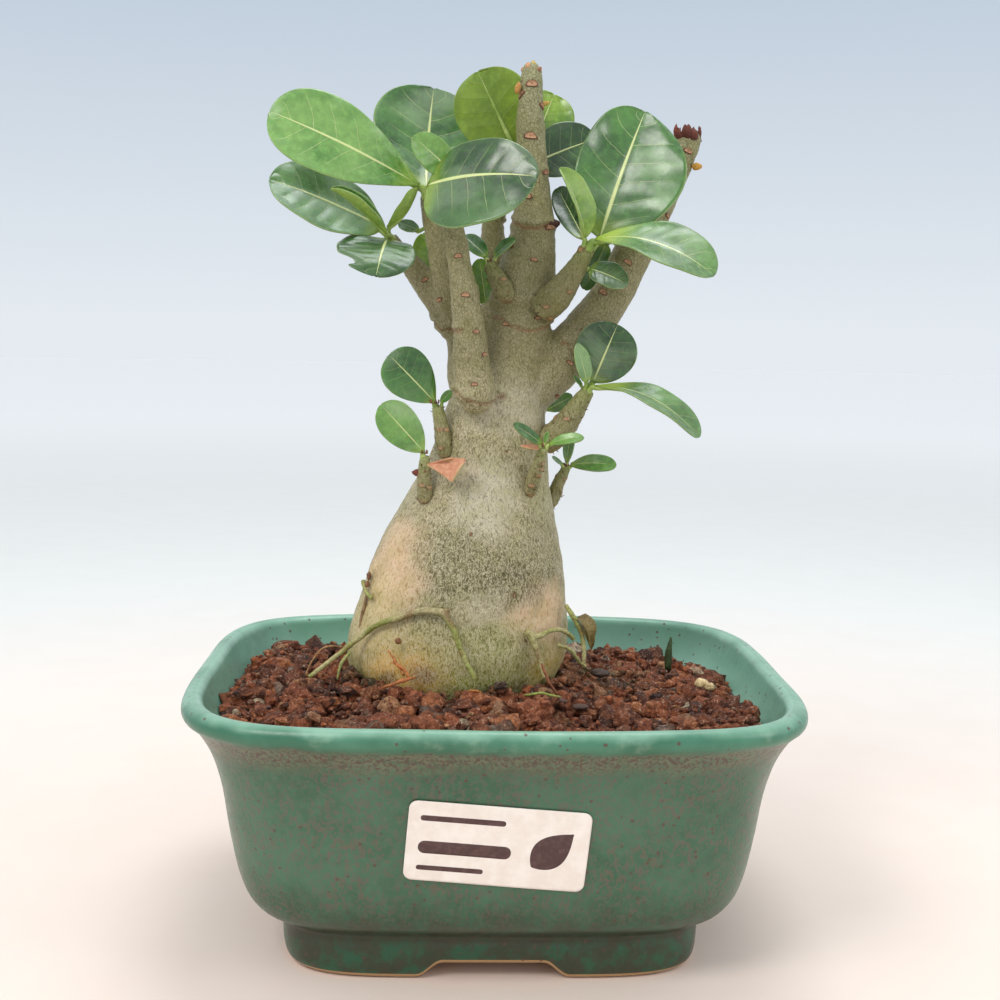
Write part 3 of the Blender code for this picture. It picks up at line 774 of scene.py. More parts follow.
# The trunk's axis with its half width and half depth, then each old branch with its radius.
stem = [
    (-10, 10, 46, 22, 20), (-10.5, 10, 60, 26.5, 24), (-10.4, 10, 70, 31, 28), (-9.6, 10, 77, 32, 28.8),
    (-8.6, 10, 87, 30.4, 27.4), (-7.2, 10, 100, 27.6, 25), (-5.4, 10, 112, 23.6, 21.5),
    (-3.6, 10, 122, 19.7, 18), (-1.2, 9.5, 133, 16.4, 15.2), (0.2, 9, 144, 14.3, 13.2),
    (2, 8, 154, 12.6, 11.6), (5.8, 7, 166, 9.3, 8.9), (7.8, 6, 181, 8.6, 8.2), (9.6, 6, 196, 6.2, 6),
    (8.9, 6, 211, 4.6, 4.6), (8.2, 6, 226, 3.8, 3.8), (8.1, 6, 237, 3.2, 3.2),
]
oldBranches = {
    "right": [
        (10, 8, 150, 7), (17, 8, 157, 7.4), (25, 8, 166.5, 6.6), (33, 8, 178, 5.8), (38.5, 8, 190, 5.6),
        (46, 8, 206, 4.6), (52.2, 8, 218.5, 3.9), (53.2, 8, 220.5, 3.4),
    ],
    "leftFront": [
        (-5.6, -3.4, 146.6, 3.8), (-6.2, -5.8, 149, 5.4), (-7.2, -6.8, 157, 5), (-8, -7.5, 167, 4.4),
        (-10.4, -8, 181, 3.6), (-12.8, -8, 193, 2.8), (-15.2, -7, 200, 2.4), (-17.2, -5.6, 204.5, 2.1),
    ],
    "leftOld": [
        (-3, 9, 146, 5), (-7.5, 11, 152, 6.2), (-8.4, 12, 160, 5.4), (-9.5, 12, 168, 5.2),
    ],
    "leftBack": [
        (-10.6, 12, 166, 5), (-12.6, 12, 170, 5.6), (-17.5, 11, 176, 4.4), (-24, 9.5, 184, 3.2),
        (-30.6, 6.5, 192, 2.2),
    ],
    "leftInner": [
        (-13.5, 9, 171, 3), (-14.8, 6, 176.5, 3.2), (-16.6, 4.5, 187, 3.3), (-18.6, 3.6, 198.5, 3),
        (-20, 3, 204, 2.3),
    ],
    "back": [
        (5, 12, 162, 4), (4.5, 18, 170, 4.6), (2.6, 21.5, 178, 4.2), (-1.2, 22, 194, 3.5),
        (0.5, 19, 204, 2.8), (4.2, 16, 213, 2.1),
    ],
}
# Round swellings at the cut ends.
stubs = [((8.1, 6, 238.2), 3.0), ((53.3, 8, 220.9), 3.5), ((-2.6, 7, 171), 3.6)]
bark = {
    "voxel": 0.64,
    "smoothing": 7,
    "relief": 1.0,
}
# Rings and lips left where wood closed over an old cut: centre, axis, reach, width, rise.
collars = [
    ((6.8, 7, 176), (0.1, 0, 1), 14, 1.6, 0.9), ((6.0, 7, 173), (0.1, 0, 1), 14, 0.9, -0.7),
    ((-6.4, -6, 150.4), (-0.1, -0.1, 1), 7.5, 1.5, 0.7), ((-6, -6, 147), (-0.1, -0.1, 1), 8, 0.9, -0.5),
    ((9.6, 6, 196), (0.05, 0, 1), 9, 1.2, 0.8), ((9.7, 6, 193.4), (0.05, 0, 1), 9, 0.9, -0.4),
    ((-11.6, 12, 170.6), (-0.5, 0, 0.8), 8, 1.4, 0.6), ((18, 8, 158.6), (0.6, 0, 0.7), 10, 1.4, 0.35),
    ((2.6, 8, 154.6), (0.2, 0, 1), 15, 2.2, 0.5), ((8.9, 6, 211.6), (0, 0, 1), 7, 0.9, 0.4),
    ((-2, 9.6, 137), (0.1, 0, 1), 19, 1.6, 0.22), ((0, 9, 146), (0.1, 0, 1), 17, 1.2, 0.18),
]
# Thin seams seen from the front, where one growth closed over another, each with a brown line painted as
# shade in its crease: (x, z) points.
seams = [
    ((-10.4, 149.6), (-9, 147.8), (-5, 146.4), (-1.4, 146.8), (0.4, 148.4)),
    ((0.6, 170.2), (3.4, 167.8), (9, 166.6), (14.6, 168), (16.4, 169.8)),
    ((-17.6, 168.6), (-15, 166.4), (-12, 166.4)), ((19.6, 163.6), (21.4, 160.6), (25, 158.8)),
    ((3.4, 197.4), (6, 195.4), (10, 194.8), (14, 196.2)),
]
# Broad patches of colour: centre, half sizes, colour, strength.
barkPatches = [
    ((-28, -10, 102), (9, 16, 13), (224, 184, 148), 0.95),
    ((-32, -4, 85), (8, 14, 12), (214, 186, 126), 0.75), ((15, -12, 88), (12, 15, 9), (240, 196, 158), 1.0),
    ((-24, -14, 74), (14, 12, 8), (196, 166, 92), 0.8), ((15, -12, 72), (12, 14, 8), (196, 166, 84), 0.85),
    ((2, -16, 78), (16, 10, 9), (146, 146, 84), 0.75), ((4, -16, 97), (17, 10, 7), (98, 90, 58), 0.9),
    # the pale patch at (-3, -10, 121) is a painted sheen of light on the front of the trunk
    ((-14, -15, 106), (15, 10, 7), (112, 106, 72), 0.75), ((-3, -10, 121), (9, 10, 10), (184, 176, 158), 0.8),
    ((-4, -14, 91), (7, 10, 5), (186, 174, 146), 0.6), ((0, -14, 68), (46, 16, 5), (134, 144, 48), 0.9),
    ((-25, -14, 71), (10, 14, 6), (224, 168, 64), 0.9),
    ((-19, -18, 72.5), (3.4, 9, 2.6), (108, 70, 40), 0.75), ((-29, -12, 70), (2.6, 9, 2), (96, 64, 40), 0.7),
    ((19, -12, 71), (9, 14, 5), (196, 168, 74), 0.9), ((8, -18, 69.4), (4, 9, 2), (92, 74, 36), 0.6),
    ((26, 14, 96), (10, 16, 16), (196, 178, 140), 0.5), ((-8, 36, 88), (26, 12, 16), (188, 176, 132), 0.6),
    ((6, 34, 74), (20, 10, 8), (170, 158, 92), 0.6), ((4, 0, 146), (12, 8, 8), (196, 188, 168), 0.5),
    ((14, 2, 122), (8, 9, 8), (160, 156, 108), 0.55),
]
# The bark's own colour by height.
heightTones = [
    (60, (146, 134, 64)), (74, (160, 148, 86)), (86, (150, 140, 92)), (96, (118, 110, 74)),
    (108, (136, 126, 92)), (122, (154, 144, 112)), (134, (144, 135, 100)), (150, (148, 138, 102)),
    (175, (148, 139, 103)), (205, (144, 138, 98)), (240, (150, 148, 110)),
]


def dress(mesh):
    # Fine bark relief: soft dents, collars, creases, and the broad colours of the bark, with painted shade
    # along the seams and a painted sheen patch.
    mesh.update()
    points, normals = readSurface(mesh)
    colours = np.zeros((len(points), 3))
    tones = [(height, np.array(tone(*colour))) for height, colour in heightTones]
    patches = [(centre, sizes, np.array(tone(*colour)), strength)
               for centre, sizes, colour, strength in barkPatches]
    creaseShadeTone = np.array(tone(150, 92, 66))
    for index in range(len(points)):
        place = Vector(points[index])
        x, y, z = place
        high = ease(140, 165, z)
        push = 0.45 * noise.noise(place * 0.09) + 0.22 * noise.noise(place * 0.24)
        push += 0.1 * noise.noise(Vector((x * 1.1, y * 1.1, z * 0.3))) * (1 - high)
        push += high * 0.12 * noise.noise(place * 0.9)
        for centre, axis, reach, width, rise in collars:
            away = place - Vector(centre)
            if abs(away.x) < reach and abs(away.y) < reach and abs(away.z) < reach:
                line = Vector(axis).normalized()
                along = away.dot(line) + 0.9 * noise.noise(place * 0.16)
                if abs(along) < 4 * width:
                    push += rise * math.exp(-(along / width) ** 2) * (0.7 + 0.6 * noise.noise(place * 0.3))
        creaseShade = 0.0
        crossed = seams if normals[index][1] < 0.2 else []
        for line in crossed:
            levels = [level for _, level in line]
            beside = line[0][0] - 2 < x < line[-1][0] + 2
            if beside and min(levels) - 3 < z < max(levels) + 3:
                over = z - interpolate(line, x) - 0.5 * noise.noise(place * 0.6)
                creaseShade = max(creaseShade, math.exp(-(over / 0.45) ** 2))
                push += 0.55 * math.exp(-((over - 1.1) / 0.8) ** 2) - 0.5 * math.exp(-(over / 0.5) ** 2)
        points[index] += normals[index] * push * bark["relief"]
        base = interpolate(tones, z)
        for centre, sizes, colour, strength in patches:
            far = sum(((a - b) / c) ** 2 for a, b, c in zip((x, y, z), centre, sizes))
            if far < 2.4:
                far *= 1 + 0.5 * noise.noise(place * 0.16)
                base = base + (colour - base) * strength * (1 - ease(0.0, 2.1, far))
        # the brown line along a seam is painted shade in its crease
        colours[index] = base + (creaseShadeTone - base) * 0.75 * creaseShade
    writePoints(mesh, points)
    paintPoints(mesh, "barkTone", colours)


def makeTrunk(skin):
    rows = smoothPath(stem, 6)

    def onStem(index, angle):
        x, y, z, halfWidth, halfDepth = rows[index]
        return x + halfWidth * math.cos(angle), y + halfDepth * math.sin(angle), z

    bm = bmesh.new()
    loft(bm, 96, len(rows), onStem)
    for stations in oldBranches.values():
        addTube(bm, smoothPath(stations, 6), 40)
    for place, size in stubs:
        made = bmesh.ops.create_icosphere(bm, subdivisions=3, radius=size)["verts"]
        bmesh.ops.translate(bm, verts=made, vec=place)
    bmesh.ops.recalc_face_normals(bm, faces=bm.faces)
    trunk = addObject("Caudex", bm)
    grow(trunk, bark["voxel"], bark["smoothing"])
    dress(trunk.data)
    trunk.data.materials.append(skin)
    trunk.data.shade_smooth()
    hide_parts("caudex")
    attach(trunk, "root")
    return trunk


def barkMaterial(name, fibre, crackle):
    # fibre is the strength of the pale upright streaks, crackle that of the fine net of cracks.
    paint = Paint(name, 0.55, Specular_IOR_Level=0.4)
    own = paint.colourOf("barkTone")
    high = paint.axis(paint.place, "Z")
    upper = paint.fade(paint.math("MULTIPLY_ADD", paint.cloud(60), 0.02, high), 0.15, 0.172)
    drawn = paint.stretch(paint.warp(paint.place, 420, 0.002), (1, 1, 0.3))
    streak = paint.cloud(1900, 3, 0.6, drawn)
    slack = paint.cloud(1050, 2, 0.5, paint.stretch(paint.warp(paint.place, 380, 0.0026), (1, 1, 0.26)))
    ridge = paint.fade(paint.math("ABSOLUTE", paint.math("SUBTRACT", slack, 0.5)), 0.008, 0.042, 1.0, 0.0)
    ridge = paint.times(ridge, paint.fade(high, 0.08, 0.1, 0.8, 0.15))
    hair = paint.fade(paint.math("ABSOLUTE", paint.math("SUBTRACT", streak, 0.52)), 0.01, 0.055, 1.0, 0.0)
    hair = paint.math("MAXIMUM", hair, ridge)
    groove = paint.fade(streak, 0.36, 0.47, 1.0, 0.0)
    squashed = paint.stretch(paint.warp(paint.place, 700, 0.0012), (1, 1, 0.75))
    net = paint.cells(1250, "DISTANCE_TO_EDGE", squashed)
    crack = paint.fade(net, 0.02, 0.16, 1.0, 0.0)
    lower = paint.math("SUBTRACT", 1.0, upper)
    colour = paint.over(own, hair, paint.math("MULTIPLY_ADD", lower, fibre, 0.1), (210, 197, 165))
    dark = paint.mix(1.0, own, tone(160, 152, 122), "MULTIPLY")
    colour = paint.mix(paint.times(groove, 0.5), colour, dark)
    cracked = paint.times(crack, paint.math("MULTIPLY_ADD", upper, crackle, 0.08))
    colour = paint.mix(cracked, colour, (100, 98, 60))
    mottle = paint.fade(paint.cloud(210, 5, 0.65), 0.42, 0.62)
    green = paint.mix(1.0, colour, tone(222, 226, 190), "MULTIPLY")
    colour = paint.mix(paint.times(mottle, 0.5), colour, green)
    speck = paint.fade(paint.cells(190, vector=paint.warp(paint.place, 600, 0.001)), 0.07, 0.11, 1.0, 0.0)
    speck = paint.times(speck, paint.fade(paint.cloud(90, 2), 0.54, 0.6))
    colour = paint.over(colour, speck, 0.7, (104, 62, 44))
    height = paint.math("ADD", paint.times(streak, paint.math("MULTIPLY_ADD", lower, 0.9, 0.25)),
                        paint.times(crack, paint.times(upper, -0.4)))
    bump = paint.bump(height, 0.0003, 0.8)
    bump = paint.bump(paint.cloud(800, 4, 0.6), 0.00016, 0.5, bump)
    return paint.finish(colour, paint.fade(streak, 0.3, 0.7, 0.62, 0.46), bump)


# Leaf scars on the front, then on the back: x, z, width, tilt in degrees.
frontScars = [
    (8.1, 220.4, 3.6, -6), (12.6, 210.7, 2.6, 5), (7.4, 203.9, 3.0, 0), (5.4, 231.8, 2.6, 40),
    (11.2, 228.8, 2.4, -30), (12.2, 226.6, 2.0, -20), (8.2, 234.6, 3.4, 0), (14.4, 195.6, 4.2, 10),
    (3.2, 190.2, 2.2, 8), (9.6, 186.4, 2.0, -10), (-11.5, 186.5, 2.2, 10), (-9.4, 176.2, 2.2, 0),
    (-6.4, 166.4, 1.8, 5), (-6.6, 152.2, 1.8, 5), (-4.0, 160.2, 1.8, 12), (-5.2, 187.5, 2.2, 10),
    (29.5, 178, 2.6, -30), (24.6, 165.2, 2.2, -40), (20.4, 158.2, 2.0, -30), (36.2, 186.5, 2.4, -30),
    (45, 203, 2.4, -25), (50.2, 210.2, 2.4, -25), (47.2, 199.6, 2.0, -25), (52.4, 217.6, 2.6, -20),
    (-16.5, 175, 2.0, 30), (-20.6, 180.6, 2.0, 35), (-25.5, 186.5, 1.8, 35), (17.4, 148.5, 1.8, -30),
    (5.2, 94.4, 1.1, 80), (-6.9, 111, 1.0, 70), (2.2, 168.5, 1.8, 0), (10.8, 170.4, 1.6, 0),
]
backScars = [
    (8, 216, 3, 0), (9, 200, 3, 0), (6, 188, 2.6, 6), (10, 176, 2.4, -8), (30, 172, 2.6, 30),
    (40, 192, 2.6, 25), (48, 208, 2.4, 25), (22, 160, 2.4, 30), (-12, 168, 2.2, -10), (2, 182, 2.4, 0),
    (0, 196, 2, 0), (-20, 180, 2, -30), (0, 150, 2.2, 0), (-7, 158, 2, 0),
]


def scarPatch(bm, tree, x, z, width, tilt, front):
    # A crescent scar pressed onto the bark: a raised rim round a sunken dry face.
    start = Vector((x, -120 if front else 140, z))
    spot, normal, _, _ = tree.ray_cast(start * mm, Vector((0, 1 if front else -1, 0)))
    if spot is None:
        return
    spot = spot / mm
    across = Vector((0, 0, 1)).cross(normal).normalized()
    across = (Matrix.Rotation(math.radians(tilt), 3, normal) @ across).normalized()
    over = normal.cross(across)
    rings, spokes = 8, 28
    tint = bm.verts.layers.float_color.get("barkTone") or bm.verts.layers.float_color.new("barkTone")
    spin, ring, edges = firstRing(bm, spokes)
    for index in range(rings):
        if index:
            ring, edges = nextRing(bm, edges)
        share = 1 - index / rings
        rise = 0.22 + 0.26 * math.exp(-((share - 0.72) / 0.17) ** 2) - 0.12 * (1 - share)
        rise -= 0.7 if index == 0 else 0
        dry = (160, 112, 84) if share < 0.2 else (200, 160, 126) if share < 0.68 else (112, 76, 54)
        for vert in ring:
            angle = 2 * math.pi * vert[spin] / spokes
            cosine, sine = math.cos(angle), math.sin(angle)
            u = cosine * share * width / 2
            v = (sine * 0.5 - (0.22 * cosine ** 2 if share > 0.3 else 0)) * share * width / 2
            wobble = 1 + 0.16 * noise.noise(Vector((x + cosine * 2, z, sine * 2)))
            place = spot + across * u * wobble + over * v * wobble
            near, _, _, _ = tree.find_nearest(place * mm)
            vert.co = near / mm + normal * rise
            vert[tint] = (*tone(*dry), 1)
    bmesh.ops.contextual_create(bm, geom=edges)


def makeScars(trunk, skin):
    tree = surfaceTree(trunk)
    bm = bmesh.new()
    for scars, front in ((frontScars, True), (backScars, False)):
        for x, z, width, tilt in scars:
            scarPatch(bm, tree, x, z, width * 1.3, tilt, front)
    bmesh.ops.recalc_face_normals(bm, faces=bm.faces)
    scars = addObject("LeafScars", bm, skin)
    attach(scars, "root")


def scarMaterial():
    paint = Paint("ScarSkin", 0.75)
    own = paint.colourOf("barkTone")
    mask = paint.fade(paint.cloud(2200, 5, 0.7), 0.35, 0.65)
    colour = paint.dapple(own, mask, (206, 190, 180), (255, 252, 248))
    return paint.finish(colour, None, paint.bump(paint.cloud(2400, 4, 0.7), 0.0002, 0.9))


buds = {
    "seed": 19,
    "bristle": 1.3,
}
# Centre, length, radius, colour.
budPlaces = [
    ((8.6, 5.2, 240.0), 1.2, 1.0, (206, 186, 108)), ((7.2, 4.6, 239.4), 1.2, 0.9, (214, 168, 128)),
    ((4.4, 3.4, 233.4), 1.7, 0.9, (204, 152, 84)), ((12.2, 5, 229.6), 1.3, 0.7, (192, 162, 84)),
    ((55.2, 5.6, 213.4), 1.5, 1.1, (206, 160, 70)), ((54.2, 6.2, 221.6), 1.1, 0.8, (210, 168, 122)),
    ((-22.0, -4, 126.9), 1.4, 1.0, (128, 64, 46)), ((15.6, 3, 196.6), 1.4, 1.3, (70, 40, 34)),
    ((-13.6, -1.2, 148), 1, 0.6, (120, 84, 58)),
]
# Rings of dry scales: centre, reach, how many, colour, height.
crowns = [
    ((53.0, 8, 220.6), 4.1, 15, (112, 54, 38), 4.4), ((8.1, 6, 238.0), 3.1, 10, (188, 140, 112), 1.5),
    ((14.0, 2.2, 196.0), 2.0, 5, (74, 40, 32), 1.4), ((-2.4, 1, 185.4), 1.4, 5, (130, 84, 60), 1.0),
    ((-17.4, -2, 146.2), 1.6, 6, (124, 82, 58), 1.2), ((-20, -4.8, 132.4), 1.4, 6, (124, 82, 58), 1.2),
    ((12.8, -9, 135.2), 1.2, 4, (128, 84, 58), 1.0), ((24.6, -4.8, 190.4), 2.0, 5, (120, 104, 58), 1.4),
    ((21.2, 14, 127.6), 1.3, 4, (128, 84, 58), 1.0),
]


def addBud(bm, tint, place, length, radius, colour, lean):
    made = bmesh.ops.create_uvsphere(bm, u_segments=14, v_segments=9, radius=1)["verts"]
    turn = Vector((0, 0, 1)).rotation_difference(lean).to_matrix()
    for vert in made:
        point = vert.co.copy()
        wide = radius * (1 - 0.35 * max(0.0, point.z))
        point = Vector((point.x * wide, point.y * wide, point.z * length))
        point *= 1 + 0.14 * noise.noise(point * 1.4 + Vector(place))
        vert.co = turn @ point + Vector(place)
        vert[tint] = (*colour, 1)


def addScale(bm, tint, base, tip, width, facing, cup, colour):
    # One dry bud scale: a short pointed leaf curled along its length.
    base, tip = Vector(base), Vector(tip)
    along = tip - base
    facing = Vector(facing)
    facing = (facing - along.normalized() * facing.dot(along.normalized())).normalized()
    side = along.normalized().cross(facing)
    made = bmesh.ops.create_grid(bm, x_segments=10, y_segments=6, size=1)["verts"]
    for vert in made:
        t, reach = vert.co.x * 0.5 + 0.5, vert.co.y
        half = width / 2 * max(0.05, (1 - t) ** 0.6 * (0.75 + 0.6 * t))
        vert.co = (base + along * t + facing * (along.length * cup * 4 * t * (1 - t))
                   + side * reach * half + facing * abs(reach) ** 1.6 * half * 0.7)
        vert[tint] = (*[part * (0.75 + 0.5 * t) for part in colour], 1)


def makeBuds(skin):
    bm = bmesh.new()
    tint = bm.verts.layers.float_color.new("barkTone")
    for place, length, radius, colour in budPlaces:
        lean = Vector((place[0] - 4, -0.6, 2)).normalized() if place[2] < 236 else Vector((0, 0, 1))
        addBud(bm, tint, place, length, radius, tone(*colour), lean)
    rng = random.Random(buds["seed"])
    for centre, reach, count, colour, high in crowns:
        for number in range(count):
            angle = 2 * math.pi * (number + rng.uniform(-0.3, 0.3)) / count
            out = Vector((math.cos(angle), math.sin(angle), 0))
            base = Vector(centre) + out * reach * rng.uniform(0.7, 1.0)
            rise = Vector((0, 0, high * rng.uniform(0.7, 1.1)))
            tip = base + rise + out * rng.uniform(-0.9, 0.5) * high * 0.4
            shade = rng.uniform(0.7, 1.3)
            shaded = [part * shade for part in tone(*colour)]
            addScale(bm, tint, base, tip, reach * 0.8, -out, rng.uniform(-0.3, 0.05), shaded)
    item = addObject("BudsAndScales", bm, skin)
    thicken(item, 0.16)
    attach(item, "root")


def refined(node, voxel, rounds, swell):
    # A shoot or a root, grown again from its solid.
    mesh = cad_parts[node].data.copy()
    item = addObject(titled(node), mesh)
    mesh.materials.clear()
    grow(item, voxel, rounds)
    item.data.shade_smooth()
    points, normals = readSurface(item.data)
    writePoints(item.data, points + normals * swell)
    return item


shootLook = {
    "voxel": 0.34,
    "smoothing": 6,
    "swell": 0.1,
    "knots": 7,
    "scarRise": 0.22,
    "bristles": 14,
    "old": (134, 128, 84),
    "young": (138, 144, 84),
    "foot": (156, 120, 78),
}


def addBristle(bm, tint, rng, place, normal):
    lean = (normal + Vector((0, 0, 0.5))).normalized()
    spike = bmesh.ops.create_cone(bm, cap_ends=True, segments=6, radius1=0.2, radius2=0.03,
                                  depth=buds["bristle"] * rng.uniform(0.7, 1.3))["verts"]
    turn = Vector((0, 0, 1)).rotation_difference(lean).to_matrix()
    for vert in spike:
        vert.co = turn @ vert.co + place + lean * 0.3
        vert[tint] = (*tone(104, 62, 44), 1)


def makeShoots(skin, scarSkin):
    made = []
    bristles = bmesh.new()
    tint = bristles.verts.layers.float_color.new("barkTone")
    old, young, footTone = [np.array(tone(*shootLook[part])) for part in ("old", "young", "foot")]
    for number, node in enumerate(sorted(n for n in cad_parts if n.startswith("shoot_"))):
        item = refined(node, shootLook["voxel"], shootLook["smoothing"], shootLook["swell"])
        points, normals = readSurface(item.data)
        low, high = points.min(0)[2], points.max(0)[2]
        rng = random.Random(40 + number)
        knots = [points[rng.randrange(len(points))] for _ in range(shootLook["knots"])]
        colours = np.zeros((len(points), 3))
        for index, place in enumerate(points):
            rise = 0.16 * noise.noise(Vector(place) * 0.7) + 0.07 * noise.noise(Vector(place) * 2.2)
            base = blend(old, young, ease(low + 0.55 * (high - low), high, place[2]))
            base = blend(base, footTone, 0.6 * (1 - ease(low, low + 2.2, place[2])))
            for knot in knots:
                away = np.linalg.norm((place - knot) * (1, 1, 1.9))
                if away < 2:
                    rise += shootLook["scarRise"] * math.exp(-((away - 0.75) / 0.4) ** 2)
                    base = blend(base, tone(196, 138, 96), math.exp(-(away / 0.75) ** 2))
                    base = blend(base, tone(92, 60, 44), 0.6 * math.exp(-((away - 1.15) / 0.3) ** 2))
            points[index] += normals[index] * rise
            colours[index] = base
        writePoints(item.data, points)
        paintPoints(item.data, "barkTone", colours)
        item.data.materials.append(skin)
        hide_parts(node)
        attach(item, "root")
        made.append(item)
        for _ in range(shootLook["bristles"]):
            pick = rng.randrange(len(points))
            addBristle(bristles, tint, rng, Vector(points[pick]), Vector(normals[pick]))
    item = addObject("ShootBristles", bristles, scarSkin)
    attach(item, "root")
    return made


rootLook = {
    "voxel": 0.26,
    "smoothing": 5,
    "swell": -0.26,
}


def makeRoots(skin):
    for number, node in enumerate(sorted(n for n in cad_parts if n.startswith("root_"))):
        item = refined(node, rootLook["voxel"], rootLook["smoothing"], rootLook["swell"])
        points, normals = readSurface(item.data)
        colours = np.zeros((len(points), 3))
        for index, place in enumerate(points):
            spot = Vector(place)
            points[index] += normals[index] * (0.2 * noise.noise(spot * 0.5) + 0.1 * noise.noise(spot * 1.6))
            share = ease(-0.15, 0.3, noise.noise(spot * 0.13 + Vector((number * 7, 0, 0))))
            base = blend(tone(156, 162, 92), tone(190, 184, 136), share)
            knot = ease(86.5, 90.5, place[2]) if number < 2 else 0
            base = blend(base, tone(176, 164, 136), 0.6 * knot)
            brown = 0.5 * ease(0.2, 0.42, noise.noise(spot * 0.2 + Vector((3, number, 9))))
            colours[index] = blend(base, tone(134, 84, 56), brown)
        writePoints(item.data, points)
        paintPoints(item.data, "barkTone", colours)
        item.data.materials.append(skin)
        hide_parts(node)
        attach(item, "root")


def rootMaterial():
    paint = Paint("RootSkin", 0.6)
    own = paint.colourOf("barkTone")
    fine = paint.cloud(1400, 5, 0.65)
    colour = paint.dapple(own, paint.fade(fine, 0.34, 0.66), (196, 186, 160), (255, 253, 240))
    return paint.finish(colour, None, paint.bump(fine, 0.0002, 0.7))


